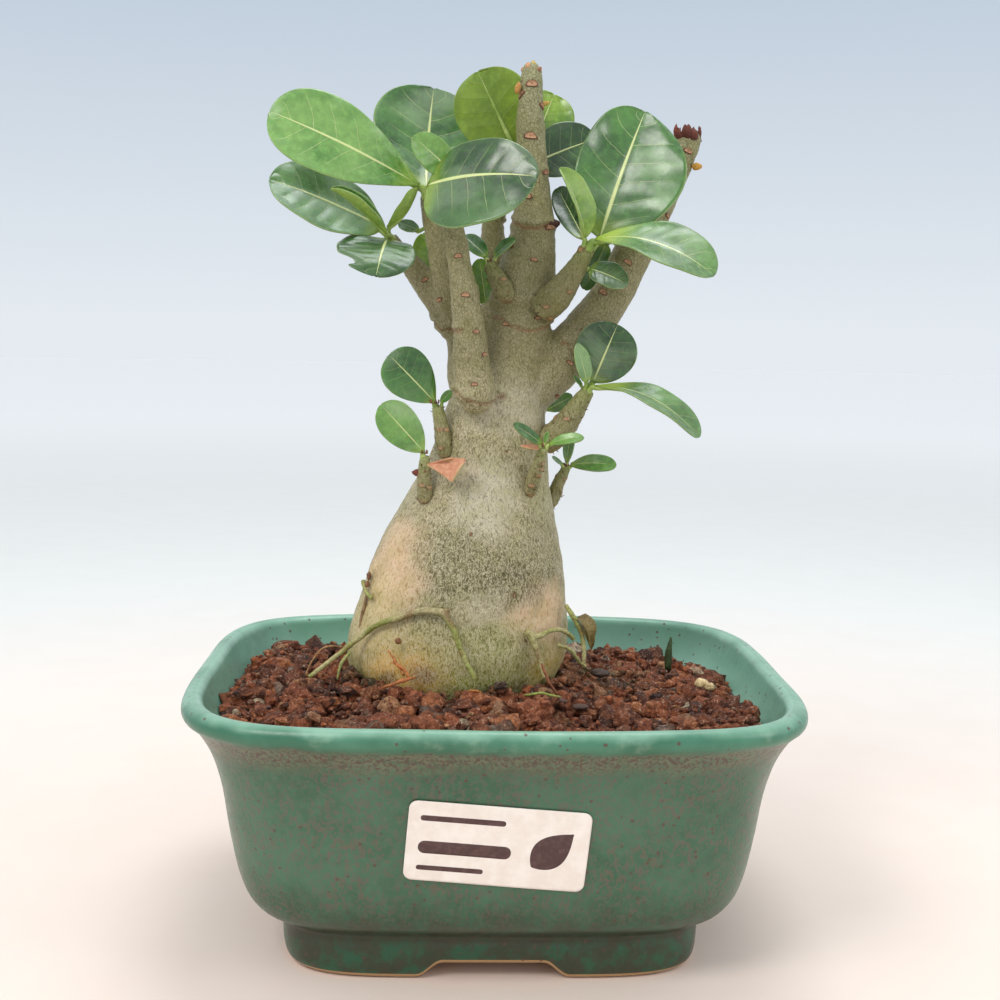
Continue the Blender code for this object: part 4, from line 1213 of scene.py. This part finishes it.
# Base, tip, width, facing, fold in degrees, arch, widest place.
leafShapes = {
    "leaf_left_large": ((-22.6, 0, 205.8), (-62.4, -8, 223.6), 23, (0.2, -0.93, 0.3), 6, 0.05, 0.68),
    "leaf_left_low": ((-33.2, 5.2, 194.6), (-62.8, -5, 206), 23, (-0.05, -0.75, 0.65), 8, 0.03, 0.56),
    "leaf_left_folded": ((-31.3, -1, 192.4), (-45.9, -9, 203.6), 7, (0.5, -0.5, 0.7), 70, 0.04, 0.6),
    "leaf_left_notched": ((-31, 2, 191), (-33.4, -13.8, 180.4), 21.5, (0.1, -0.55, 0.85), 4, 0.12, 0.6),
    "leaf_left_edge": ((-31, 3.4, 194.6), (-22.8, -3.4, 204.6), 6, (-0.8, 0.3, 0.3), 60, -0.1, 0.6),
    "leaf_back_dark": ((-20.6, 6.8, 205.6), (-19, 25, 236), 30, (0.2, -0.85, 0.4), 8, -0.08, 0.62),
    "leaf_small_light": ((-13, -5.2, 208.6), (-24, -10, 217.6), 9.5, (0.2, -0.95, 0.2), 8, 0.03, 0.52),
    "leaf_front_large": ((-19.8, -8, 205), (8.4, -26, 206.2), 27, (0.2, -0.93, 0.35), 5, 0.09, 0.5),
    "leaf_top_backlit": ((5.6, 15.4, 215.2), (-6.6, 12.6, 239), 23, (-0.1, 0.95, 0.2), 10, -0.05, 0.6),
    "leaf_behind_leader": ((8.4, 15.6, 213.6), (28, 19, 222), 16, (-0.1, -0.95, 0.2), 6, 0.05, 0.55),
    "leaf_top_bright": ((8.2, 18.4, 215.2), (16, 24, 235), 18, (0.2, -0.8, 0.5), 14, 0, 0.6),
    "leaf_right_large": ((27.6, -2.6, 192.4), (39.8, 3, 227.6), 31, (-0.25, -0.93, 0.2), 6, 0.05, 0.56),
    "leaf_lime_folded": ((23, -6.4, 192.4), (15.4, -9.6, 210.4), 10, (0.5, -0.75, 0.3), 42, 0.06, 0.5),
    "leaf_right_drooping": ((25.8, -7.2, 191.6), (55.4, -24, 182), 18.5, (0.3, -0.72, 0.62), 12, 0.13, 0.66),
    "leaf_small_dark": ((24.8, -3.4, 184), (35, -6, 179.8), 8.4, (0.1, -0.85, 0.5), 10, 0.05, 0.5),
    "leaf_dark_inner": ((23.6, 0.2, 192.2), (17, 15, 207.4), 8, (-0.3, -0.9, 0.3), 15, 0, 0.55),
    "leaf_centre_right": ((-1.2, 0.4, 187), (4.2, -4.4, 191.6), 4, (0.1, -0.8, 0.6), 20, 0.05, 0.5),
    "leaf_centre_left": ((-3.6, 2, 186.8), (-10, 6, 192.6), 6, (0.2, -0.8, 0.5), 15, 0.05, 0.55),
    "leaf_back_hanging": ((-13.6, 18, 175), (-21.6, 19, 194), 11, (-0.2, -0.95, 0.1), 10, 0.03, 0.55),
    "leaf_back_yellow": ((-2.8, 16, 173.6), (-5, 15.5, 187), 7, (-0.2, -0.95, 0.1), 10, 0, 0.55),
    "leaf_left_bit": ((-22.6, 7, 194), (-28, 10, 196.4), 4.4, (0.1, -0.8, 0.6), 10, 0, 0.55),
    "leaf_low_back": ((31.4, 14, 192), (25.6, 17, 179), 7, (-0.2, -0.95, 0.1), 10, 0, 0.5),
    "leaf_upper_shoot": ((-17.2, -1.6, 146.4), (-30, -5, 159.4), 14, (0.15, -0.97, 0.1), 5, 0.03, 0.66),
    "leaf_upper_shoot_small": ((-15.5, -1.8, 146.6), (-12.6, -5, 149.8), 2.6, (0.1, -0.9, 0.4), 15, 0, 0.55),
    "leaf_lower_shoot": ((-20.2, -5, 132.8), (-32, -8, 145.8), 11, (0.2, -0.95, 0.1), 6, 0.03, 0.62),
    "leaf_right_round": ((27.2, 1.2, 152.8), (33.2, -2, 168.8), 17.5, (-0.15, -0.95, 0.1), 6, 0.04, 0.58),
    "leaf_right_lime": ((25, -1.2, 152.8), (21.8, -3.6, 163.4), 5, (0.2, -0.9, 0.1), 25, 0.04, 0.5),
    "leaf_right_long": ((27.6, -1.4, 151.6), (54.8, -14, 138.8), 12, (0.3, -0.5, 0.8), 15, 0.13, 0.66),
    "leaf_right_curl": ((23.9, 1.6, 151.8), (21.4, 0, 154.4), 1.6, (0.1, -0.9, 0.4), 30, 0, 0.5),
    "leaf_right_dark": ((15.6, 17, 143.8), (23, 18.4, 147.8), 5, (-0.1, -0.95, 0.2), 10, 0, 0.55),
    "leaf_front_left": ((12, -9.8, 136), (4.2, -14, 141.6), 3.4, (0.2, -0.9, 0.4), 12, 0.04, 0.55),
    "leaf_front_right": ((14.4, -9.6, 135.8), (23.4, -13.4, 138), 3.5, (0, -0.8, 0.6), 12, 0.1, 0.6),
    "leaf_front_tip": ((13.2, -8.9, 136.3), (13.8, -9.6, 139.4), 1.6, (0.1, -0.9, 0.1), 20, 0, 0.5),
    "bract_front": ((11.4, -9.6, 134.8), (6.4, -11.6, 135.4), 1.8, (0, -0.7, 0.7), 10, 0, 0.3),
    "leaf_back_right": ((22.6, 13.4, 128), (35.4, 9.6, 128.4), 5.6, (0, -0.85, 0.5), 10, 0.1, 0.6),
    "leaf_back_upright": ((21.6, 15.3, 128.6), (22.8, 17.4, 139), 3.6, (-0.3, -0.9, 0), 15, 0, 0.55),
    "leaf_back_tip": ((20, 12.6, 128.2), (17, 11.6, 130.6), 1.4, (0, -0.8, 0.5), 15, 0, 0.5),
    "leaf_dry": ((-18.8, -8.4, 129.8), (-8.8, -11.6, 131.4), 6.6, (0.1, -0.95, 0.2), 20, -0.1, 0.55),
}
leafLook = {
    "rows": 56,
    "columns": 34,
    "thickness": 0.42,
    "quilt": 0.2,
    "wave": 0.5,
    "veins": 6.5,
}
# Upper side and underside colours of each kind of leaf, dark then light.
leafKinds = {
    "mature": ((36, 78, 26), (76, 122, 52), (92, 124, 60), (118, 146, 76)),
    "light": ((68, 116, 38), (112, 154, 72), (112, 140, 56), (140, 166, 76)),
    "lime": ((84, 128, 22), (132, 164, 48), (108, 140, 26), (138, 164, 44)),
    "backlit": ((70, 104, 18), (110, 140, 34), (88, 116, 22), (116, 142, 40)),
    "dark": ((24, 58, 18), (58, 98, 38), (72, 104, 52), (98, 128, 70)),
    "grey": ((72, 108, 66), (106, 142, 92), (100, 130, 80), (126, 152, 98)),
    "limeFoot": ((60, 96, 46), (98, 136, 72), (112, 140, 60), (140, 166, 84)),
    "sheen": ((78, 126, 54), (122, 162, 84), (112, 140, 56), (140, 166, 76)),
    "dry": ((190, 128, 96), (224, 170, 136), (190, 128, 96), (218, 162, 128)),
}
leafKind = {
    "leaf_left_large": "sheen", "leaf_left_low": "grey", "leaf_left_folded": "light",
    "leaf_left_edge": "light", "leaf_back_dark": "mature", "leaf_small_light": "light",
    "leaf_front_large": "dark", "leaf_top_backlit": "backlit", "leaf_behind_leader": "dark",
    "leaf_top_bright": "lime", "leaf_right_large": "mature", "leaf_lime_folded": "lime",
    "leaf_small_dark": "dark", "leaf_dark_inner": "dark", "leaf_back_hanging": "lime",
    "leaf_back_yellow": "lime", "leaf_upper_shoot": "mature", "leaf_lower_shoot": "light",
    "leaf_right_round": "dark", "leaf_right_lime": "light", "leaf_right_long": "limeFoot",
    "leaf_front_left": "mature", "leaf_front_right": "light", "leaf_front_tip": "light",
    "leaf_back_right": "light", "leaf_back_upright": "grey", "leaf_back_tip": "grey",
    "leaf_right_drooping": "limeFoot", "leaf_dry": "dry", "bract_front": "dry", "leaf_left_notched": "dark",
}
# A bite out of one margin: side, place along the leaf, how deep, how long.
leafBites = {"leaf_left_notched": (1, 0.84, 0.36, 0.06)}
# Uneven halves: how much wider one half is, and how far the margins run past the tip.
leafLean = {
    "leaf_right_large": (0.16, -0.09), "leaf_back_dark": (-0.12, 0.0), "leaf_front_large": (0.2, 0.0),
    "leaf_left_notched": (0.14, 0.0), "leaf_dry": (0.8, 0.0),
}


def leafOutline(share, widest):
    # Half width along a leaf, 1 at its widest place: a narrow base and a rounded tip.
    power = 0.45
    rise = power * widest / (1 - widest)
    peak = widest ** rise * (1 - widest) ** power
    return share ** rise * max(0.0, 1 - share) ** power / peak


def makeLeaf(node, shape, upper, under):
    base, tip, width, facing, fold, arch, widest = shape
    base, tip = Vector(base), Vector(tip)
    along = tip - base
    length = along.length
    along.normalize()
    facing = Vector(facing)
    facing = (facing - along * facing.dot(along)).normalized()
    side = along.cross(facing)
    lift = math.radians(fold)
    rng = random.Random(node)
    phase, shift = rng.uniform(0, 6.3), Vector((rng.uniform(0, 50), rng.uniform(0, 50), 0))
    big = min(1.0, width / 22)
    rows, columns = (leafLook["rows"], leafLook["columns"]) if width > 8 else (26, 16)
    bm = bmesh.new()
    made = bmesh.ops.create_grid(bm, x_segments=rows, y_segments=columns, size=1)["verts"]
    flat = {}
    for vert in made:
        share = min(0.9994, 1 - (1 - (vert.co.x * 0.5 + 0.5)) ** 1.6)
        reach = vert.co.y
        half = max(0.5 * (1 - share) + 0.05, width / 2 * leafOutline(share, widest))
        if node == "leaf_dry":
            half = width / 2 * (0.06 + min(share / 0.62, (1.06 - share) / 0.44))
        if node in leafBites:
            biteSide, where, depth, long = leafBites[node]
            if reach * biteSide > 0:
                half *= 1 - depth * math.exp(-((share - where) / long) ** 4)
        flat[vert] = (share, reach)
        edge = abs(reach)
        wider, past = leafLean.get(node, (0, 0))
        half *= 1 + wider * reach
        run = share + past * edge ** 2 * (1 if reach * wider > 0 else -0.6) * leafOutline(share, 0.8) * share
        middle = base + along * length * run + facing * arch * length * 4 * share * (1 - share)
        arm = side * math.cos(lift * edge ** 0.3) * reach + facing * math.sin(lift) * edge ** 1.25
        ripple = math.sin(share * 12 + phase + (1.3 if reach > 0 else 0))
        swing = leafLook["wave"] * big * ripple * edge ** 2.5 * 4 * share * (1 - share)
        # blistered between the side veins, with the midrib standing in a shallow groove
        turnShare = (share - 0.17 * edge ** 1.1) * leafLook["veins"] + (0.35 if reach > 0 else 0)
        quilt = abs(math.sin(math.pi * turnShare)) ** 0.6 * math.sin(math.pi * min(1, edge * 1.02)) ** 0.7
        swing += leafLook["quilt"] * big * quilt
        swing += 0.45 * big * noise.noise(Vector((share * 3.2, reach * 1.6, 0)) + shift) * (0.3 + edge)
        if node == "leaf_dry":
            swing += 1.1 * math.sin(share * 7 + reach * 1.5) * edge
        rib = math.exp(-(reach * half / (0.5 + 0.45 * big * (1 - share))) ** 2)
        swing += 0.28 * big * (1 - share) ** 0.6 * rib
        vert.co = middle + arm * half + facing * swing
    sheet = bm.loops.layers.uv.new("leafSheet")
    for face in bm.faces:
        for loop in face.loops:
            share, reach = flat[loop.vert]
            loop[sheet].uv = (share, reach * 0.5 + 0.5)
    bmesh.ops.recalc_face_normals(bm, faces=bm.faces)
    if sum(face.normal.dot(facing) for face in bm.faces) < 0:
        bmesh.ops.reverse_faces(bm, faces=bm.faces)
    item = addObject(titled(node), bm, upper, under)
    thicken(item, leafLook["thickness"] * (1 if width > 3 else 0.7), 0, 1)
    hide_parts(node)
    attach(item, "root")
    return item


def leafMaterial(name, darker, lighter, under, kind):
    dry = kind == "dry"
    paint = Paint(name, 0.3, Specular_IOR_Level=0.5, Coat_Weight=0.0 if dry or under else 0.45,
                  Coat_Roughness=0.2, Subsurface_Weight=0.12, Subsurface_Scale=0.001)
    along = paint.axis(paint.sheet, "X")
    side = paint.math("SUBTRACT", paint.axis(paint.sheet, "Y"), 0.5)
    edge = paint.times(paint.math("ABSOLUTE", side), 2.0)
    # side veins, bent towards the base at the margins, and not opposite each other
    run = paint.math("ADD", along, paint.times(paint.math("POWER", edge, 1.1), -0.17))
    stagger = paint.times(paint.math("GREATER_THAN", side, 0.0), 0.35)
    run = paint.math("MULTIPLY_ADD", run, leafLook["veins"], stagger)
    run = paint.math("MULTIPLY_ADD", paint.math("SUBTRACT", paint.cloud(110, 3, 0.5), 0.5), 0.3, run)
    off = paint.math("PINGPONG", run, 0.5)
    lateral = paint.times(paint.fade(off, 0.004, 0.026, 1.0, 0.0), paint.fade(edge, 0.5, 0.94, 1.0, 0.0))
    ribWidth = paint.math("MULTIPLY_ADD", paint.math("SUBTRACT", 1.0, along), 0.06, 0.012)
    rib = paint.math("SUBTRACT", 1.0, paint.math("DIVIDE", edge, ribWidth), clamp=True)
    rib = paint.fade(rib, 0.0, 0.55)
    colour = paint.mix(paint.fade(paint.cloud(80, 4, 0.55), 0.3, 0.72), tone(*darker), tone(*lighter))
    brighter = tone(*[min(255, part * 1.25) for part in lighter])
    colour = paint.mix(paint.fade(paint.cloud(620, 4, 0.6), 0.4, 0.75, 0.0, 0.35), colour, brighter)
    if not under and not dry:
        # a painted sheen in pale patches, standing in for glossy reflections
        drawn = paint.stretch(paint.warp(paint.place, 60, 0.01), (1, 1, 1.6))
        paintedSheen = paint.fade(paint.cloud(48, 3, 0.5, drawn), 0.5, 0.68)
        colour = paint.over(colour, paintedSheen, {"sheen": 0.6, "dark": 0.14}.get(kind, 0.24), (190, 206, 176))
    pale = (190, 176, 130) if dry else (212, 220, 150)
    colour = paint.over(colour, lateral, 0.12 if under or dry or kind == "backlit" else 0.4, pale)
    if not dry:
        start, end, strength = (0.1, 0.36, 2.0) if kind == "limeFoot" else (0.05, 0.2, 1.0)
        colour = paint.over(colour, paint.fade(along, start, end, strength, 0.0), 0.45, (160, 184, 62))
    colour = paint.over(colour, rib, 0.3 if dry else 0.4 if under else 0.88, pale)
    colour = paint.over(colour, paint.fade(edge, 0.965, 1.0), 0.5, (150, 176, 104))
    bump = paint.bump(paint.math("MULTIPLY_ADD", lateral, 0.5, rib), 0.00022, 0.7)
    bump = paint.bump(paint.cloud(150, 3, 0.5), 0.0009, 0.3, bump)
    smooth, dull = (0.42, 0.6) if under else (0.24, 0.44)
    rough = 0.75 if dry else paint.fade(paint.cloud(240, 4, 0.6), 0.3, 0.75, smooth, dull)
    return paint.finish(colour, rough, bump)


def makeStalks(skin, wood):
    # Each leaf's stalk runs out of the nearest wood and on under the leaf as its midrib.
    points, faces = [], []
    for item in wood:
        start = len(points)
        points += [v.co.copy() for v in item.data.vertices]
        faces += [[index + start for index in p.vertices] for p in item.data.polygons]
    tree = BVHTree.FromPolygons(points, faces)
    bm = bmesh.new()
    for node, shape in leafShapes.items():
        base, tip, width, facing, fold, arch, widest = shape
        if node in ("leaf_dry", "bract_front"):
            continue
        base, tip = Vector(base), Vector(tip)
        along = tip - base
        face = (Vector(facing) - along.normalized() * Vector(facing).dot(along.normalized())).normalized()
        near, _, _, far = tree.find_nearest(base * mm)
        if near is None or far / mm > 14:
            continue
        near = near / mm
        inward = (near - base).normalized() if (near - base).length > 0.2 else -along.normalized()
        thick = min(1.15, 0.42 + width * 0.03)
        under = -face * thick * 0.75
        path = [(*(near + inward * 1.0), thick * 1.15)]
        gap = (near - base).length
        if gap > 1.2:
            swing = along.normalized() * gap * 0.3 - Vector((0, 0, 0.25 * gap))
            path.append((*(near * 0.5 + base * 0.5 - swing * 0.6), thick))
        for share, size in ((0.02, 0.9), (0.14, 0.72), (0.34, 0.5), (0.6, 0.3), (0.82, 0.12)):
            middle = base + along * share + face * arch * along.length * 4 * share * (1 - share)
            path.append((*(middle + under * size), thick * size))
        addTube(bm, smoothPath(path, 5), 14)
    bmesh.ops.recalc_face_normals(bm, faces=bm.faces)
    stalks = addObject("LeafStalks", bm, skin)
    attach(stalks, "root")


def stalkMaterial():
    paint = Paint("LeafStalk", 0.4)
    cloud = paint.cloud(160, 4, 0.6)
    colour = paint.mix(paint.fade(cloud, 0.35, 0.68), (122, 150, 58), (176, 192, 110))
    return paint.finish(colour, None, paint.bump(paint.cloud(1200, 4), 0.0001, 0.4))


def makeLeaves():
    made = {}
    for kind, (darker, lighter, underDark, underLight) in leafKinds.items():
        made[kind] = (leafMaterial("Leaf" + kind.title(), darker, lighter, False, kind),
                      leafMaterial("Leaf" + kind.title() + "Under", underDark, underLight, True, kind))
    for node, shape in leafShapes.items():
        kind = leafKind.get(node, "mature")
        item = makeLeaf(node, shape, *made[kind])


# Dead rootlets and peelings lying about: points with radius, colour.
litterStrands = [
    ([(-30, -24, 70.8, 0.3), (-25.4, -24.5, 72.7, 0.5), (-21.4, -23, 73.4, 0.25)], (190, 116, 66)),
    ([(-29, -17.2, 79.5, 0.2), (-26.7, -18.6, 76.5, 0.4), (-24.5, -20.3, 73.2, 0.35)], (204, 134, 72)),
    ([(-27.6, -18, 76.5, 0.3), (-25, -20, 75.2, 0.4), (-22.6, -21.4, 72.6, 0.3)], (198, 120, 64)),
    ([(-39.4, -6, 77.7, 0.2), (-47.1, -4, 77.1, 0.25), (-50.6, -6, 73.5, 0.22), (-52.3, -8, 69.8, 0.2)],
     (176, 132, 84)),
    ([(-39.8, -9, 77, 0.5), (-42.1, -11, 74, 0.45), (-43.1, -12, 69.9, 0.3)], (166, 172, 108)),
    ([(-35.6, -1.6, 92, 0.4), (-36.9, -1.4, 85.6, 0.6), (-37.6, -1.4, 79, 0.4)], (158, 128, 96)),
    ([(8, -24, 69, 0.3), (12, -26, 70.2, 0.35), (17.6, -27, 69.4, 0.3)], (152, 166, 84)),
    ([(-8, -23.5, 69.4, 0.3), (-5.6, -24.4, 70.4, 0.4), (-3.4, -24.4, 69.9, 0.3)], (190, 122, 62)),
    ([(17.2, -21, 82.4, 0.4), (20.6, -19, 80.6, 0.5), (23.4, -16, 76.8, 0.45), (25.6, -14, 74.6, 0.3)],
     (178, 178, 122)),
    ([(12.4, -24.4, 78, 0.35), (14.4, -25.4, 73.6, 0.4), (17, -26, 69.6, 0.3)], (150, 92, 60)),
    ([(56.7, 35, 62, 1.0), (56.8, 35, 67, 1.2), (57.4, 35, 72.4, 0.3)], (62, 84, 48)),
]
# Dark husks: centre, half sizes, colour.
litterHusks = [
    ((16.1, -30, 69.2), (3.0, 1.6, 1.0), (96, 68, 58)), ((22.4, -32, 68.2), (2.2, 1.4, 0.9), (84, 60, 52)),
    ((31.3, 0, 69.4), (2.8, 1.8, 1.2), (74, 56, 50)), ((-26.3, -16.2, 81.9), (0.8, 0.4, 0.9), (150, 104, 72)),
    ((-35.2, 0.4, 96.8), (0.7, 0.8, 1.3), (134, 94, 68)),
    ((-35.6, -0.4, 94.6), (0.7, 0.8, 0.9), (150, 110, 82)),
    ((61.5, 4, 65.6), (1.9, 1.6, 1.5), (226, 204, 164)),
    ((63.4, 1.2, 65.4), (1.5, 1.4, 1.2), (218, 196, 158)),
]
# Curled dead leaves: base, tip, width, facing.
litterCurls = [((24.2, -1, 86), (27.6, -3, 78.6), 5.4, (0.5, -0.8, 0.2)),
               ((25.6, 0, 84), (28.4, -1.6, 76.8), 4.2, (0.2, -0.9, 0.1))]


def makeLitter(skin):
    bm = bmesh.new()
    tint = bm.verts.layers.float_color.new("barkTone")
    bm.verts.layers.int.new("spoke")
    for path, colour in litterStrands:
        older = set(bm.verts)
        addTube(bm, smoothPath(path, 5), 10)
        for vert in bm.verts:
            if vert not in older:
                vert[tint] = (*tone(*colour), 1)
                vert.co += Vector((1, 1, 1)) * 0.25 * noise.noise(vert.co * 0.7)
    for centre, sizes, colour in litterHusks:
        for vert in bmesh.ops.create_icosphere(bm, subdivisions=3, radius=1)["verts"]:
            vert.co *= 1 + 0.3 * noise.noise(vert.co * 1.8 + Vector(centre))
            vert.co = Vector([part * size + place for part, size, place in zip(vert.co, sizes, centre)])
            vert[tint] = (*tone(*colour), 1)
    for base, tip, width, facing in litterCurls:
        addScale(bm, tint, base, tip, width, facing, 0.35, tone(140, 124, 76))
    bmesh.ops.recalc_face_normals(bm, faces=bm.faces)
    litter = addObject("SoilLitter", bm, skin)
    thicken(litter, 0.1)
    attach(litter, "root")


studio = {
    "sky": (0.90, 0.95, 1.0),
    "skyStrength": 0.88,
    "seenSky": ((229, 235, 241), (186, 201, 217)),
    "floor": ((236, 218, 206), (226, 227, 224), (255, 255, 255)),
    "floorRadius": 6000,
}


def addLight(name, place, aim, size, power, colour):
    lamp = bpy.data.lights.new(name, "AREA")
    lamp.shape = "DISK"
    lamp.size = size
    lamp.energy = power
    lamp.color = colour
    item = bpy.data.objects.new(name, lamp)
    scene.collection.objects.link(item)
    item.location = place
    item.rotation_euler = (Vector(aim) - Vector(place)).to_track_quat("-Z", "Y").to_euler()
    return item


def makeFloor():
    paint = Paint("StudioFloor", 0.75)
    away = paint.add("ShaderNodeVectorMath", operation="LENGTH")
    paint.feed(away.inputs[0], paint.place)
    near, middle, far = [tone(*colour) for colour in studio["floor"]]
    colour = paint.mix(paint.fade(away.outputs["Value"], 0.05, 0.6), near, middle)
    colour = paint.mix(paint.fade(away.outputs["Value"], 0.6, 2.2), colour, far)
    cloud = paint.fade(paint.cloud(30, 4, 0.6), 0.3, 0.7, 0.0, 0.06)
    bm = bmesh.new()
    bmesh.ops.create_circle(bm, cap_ends=True, segments=128, radius=studio["floorRadius"])
    floor = addObject("StudioFloor", bm, paint.finish(paint.mix(cloud, colour, far)))


def makeSky():
    world = bpy.data.worlds.new("StudioSky")
    world.use_nodes = True
    nodes, join = world.node_tree.nodes, world.node_tree.links.new
    back = nodes["Background"]
    back.inputs["Color"].default_value = (*studio["sky"], 1)
    back.inputs["Strength"].default_value = studio["skyStrength"]
    # the sky seen behind the plant is even, whatever the strength of its light
    seen, place, split, ramp, path, pick, mixed = [nodes.new("ShaderNode" + kind) for kind in (
        "Background", "TexCoord", "SeparateXYZ", "MapRange", "LightPath", "MixShader", "Mix")]
    join(place.outputs["Generated"], split.inputs[0])
    ramp.inputs["From Max"].default_value = 0.26
    join(split.outputs["Z"], ramp.inputs["Value"])
    mixed.data_type = "RGBA"
    for socket, colour in zip(mixed.inputs[6:8], studio["seenSky"]):
        socket.default_value = (*tone(*colour), 1)
    join(ramp.outputs["Result"], mixed.inputs[0])
    join(mixed.outputs[2], seen.inputs["Color"])
    join(path.outputs["Is Camera Ray"], pick.inputs[0])
    join(back.outputs[0], pick.inputs[1])
    join(seen.outputs[0], pick.inputs[2])
    join(pick.outputs[0], nodes["World Output"].inputs["Surface"])
    scene.world = world


def makeStage():
    makeFloor()
    makeSky()
    scene.view_settings.view_transform = "Standard"
    addLight("KeyLight", (-0.5, -0.55, 0.85), (0, 0, 0.12), 0.45, 4.6, (1, 0.97, 0.93))
    addLight("TopLight", (0.1, 0.15, 1.1), (0, 0, 0.1), 0.55, 3.6, (0.95, 0.98, 1))
    addLight("SideLight", (0.8, -0.35, 0.5), (0, 0, 0.12), 0.5, 1.4, (1, 0.97, 0.94))


def makeCamera():
    data = bpy.data.cameras.new("Camera")
    data.lens = 50.54
    data.sensor_width = 36
    data.shift_x = 0.0094
    data.shift_y = -0.0177
    data.clip_start = 0.01
    item = bpy.data.objects.new("Camera", data)
    scene.collection.objects.link(item)
    right, up = Vector((0.9992, -0.0355, 0.0189)), Vector((-0.0149, 0.1109, 0.9937))
    ahead = Vector((0.0374, 0.9932, -0.1103))
    turn = Matrix((right, up, -ahead)).transposed()
    item.matrix_world = Matrix.Translation((-0.01601, -0.39323, 0.16774)) @ turn.to_4x4()
    scene.camera = item


potItem = makeBowl(glazeMaterial())
markBowl(potItem)
makeLabel(potItem, paperMaterial(), inkMaterial())
print("bowl and label made")
makeBed(bedMaterial())
makeSoil(grainMaterial())
print("soil made")
trunkItem = makeTrunk(barkMaterial("CaudexBark", 0.7, 0.5))
makeScars(trunkItem, scarMaterial())
makeBuds(scarMaterial())
print("trunk made")
shootItems = makeShoots(barkMaterial("ShootBark", 0.2, 0.35), scarMaterial())
makeRoots(rootMaterial())
makeLitter(rootMaterial())
print("shoots and roots made")
makeLeaves()
makeStalks(stalkMaterial(), [trunkItem] + shootItems)
print("leaves made")
makeStage()
makeCamera()
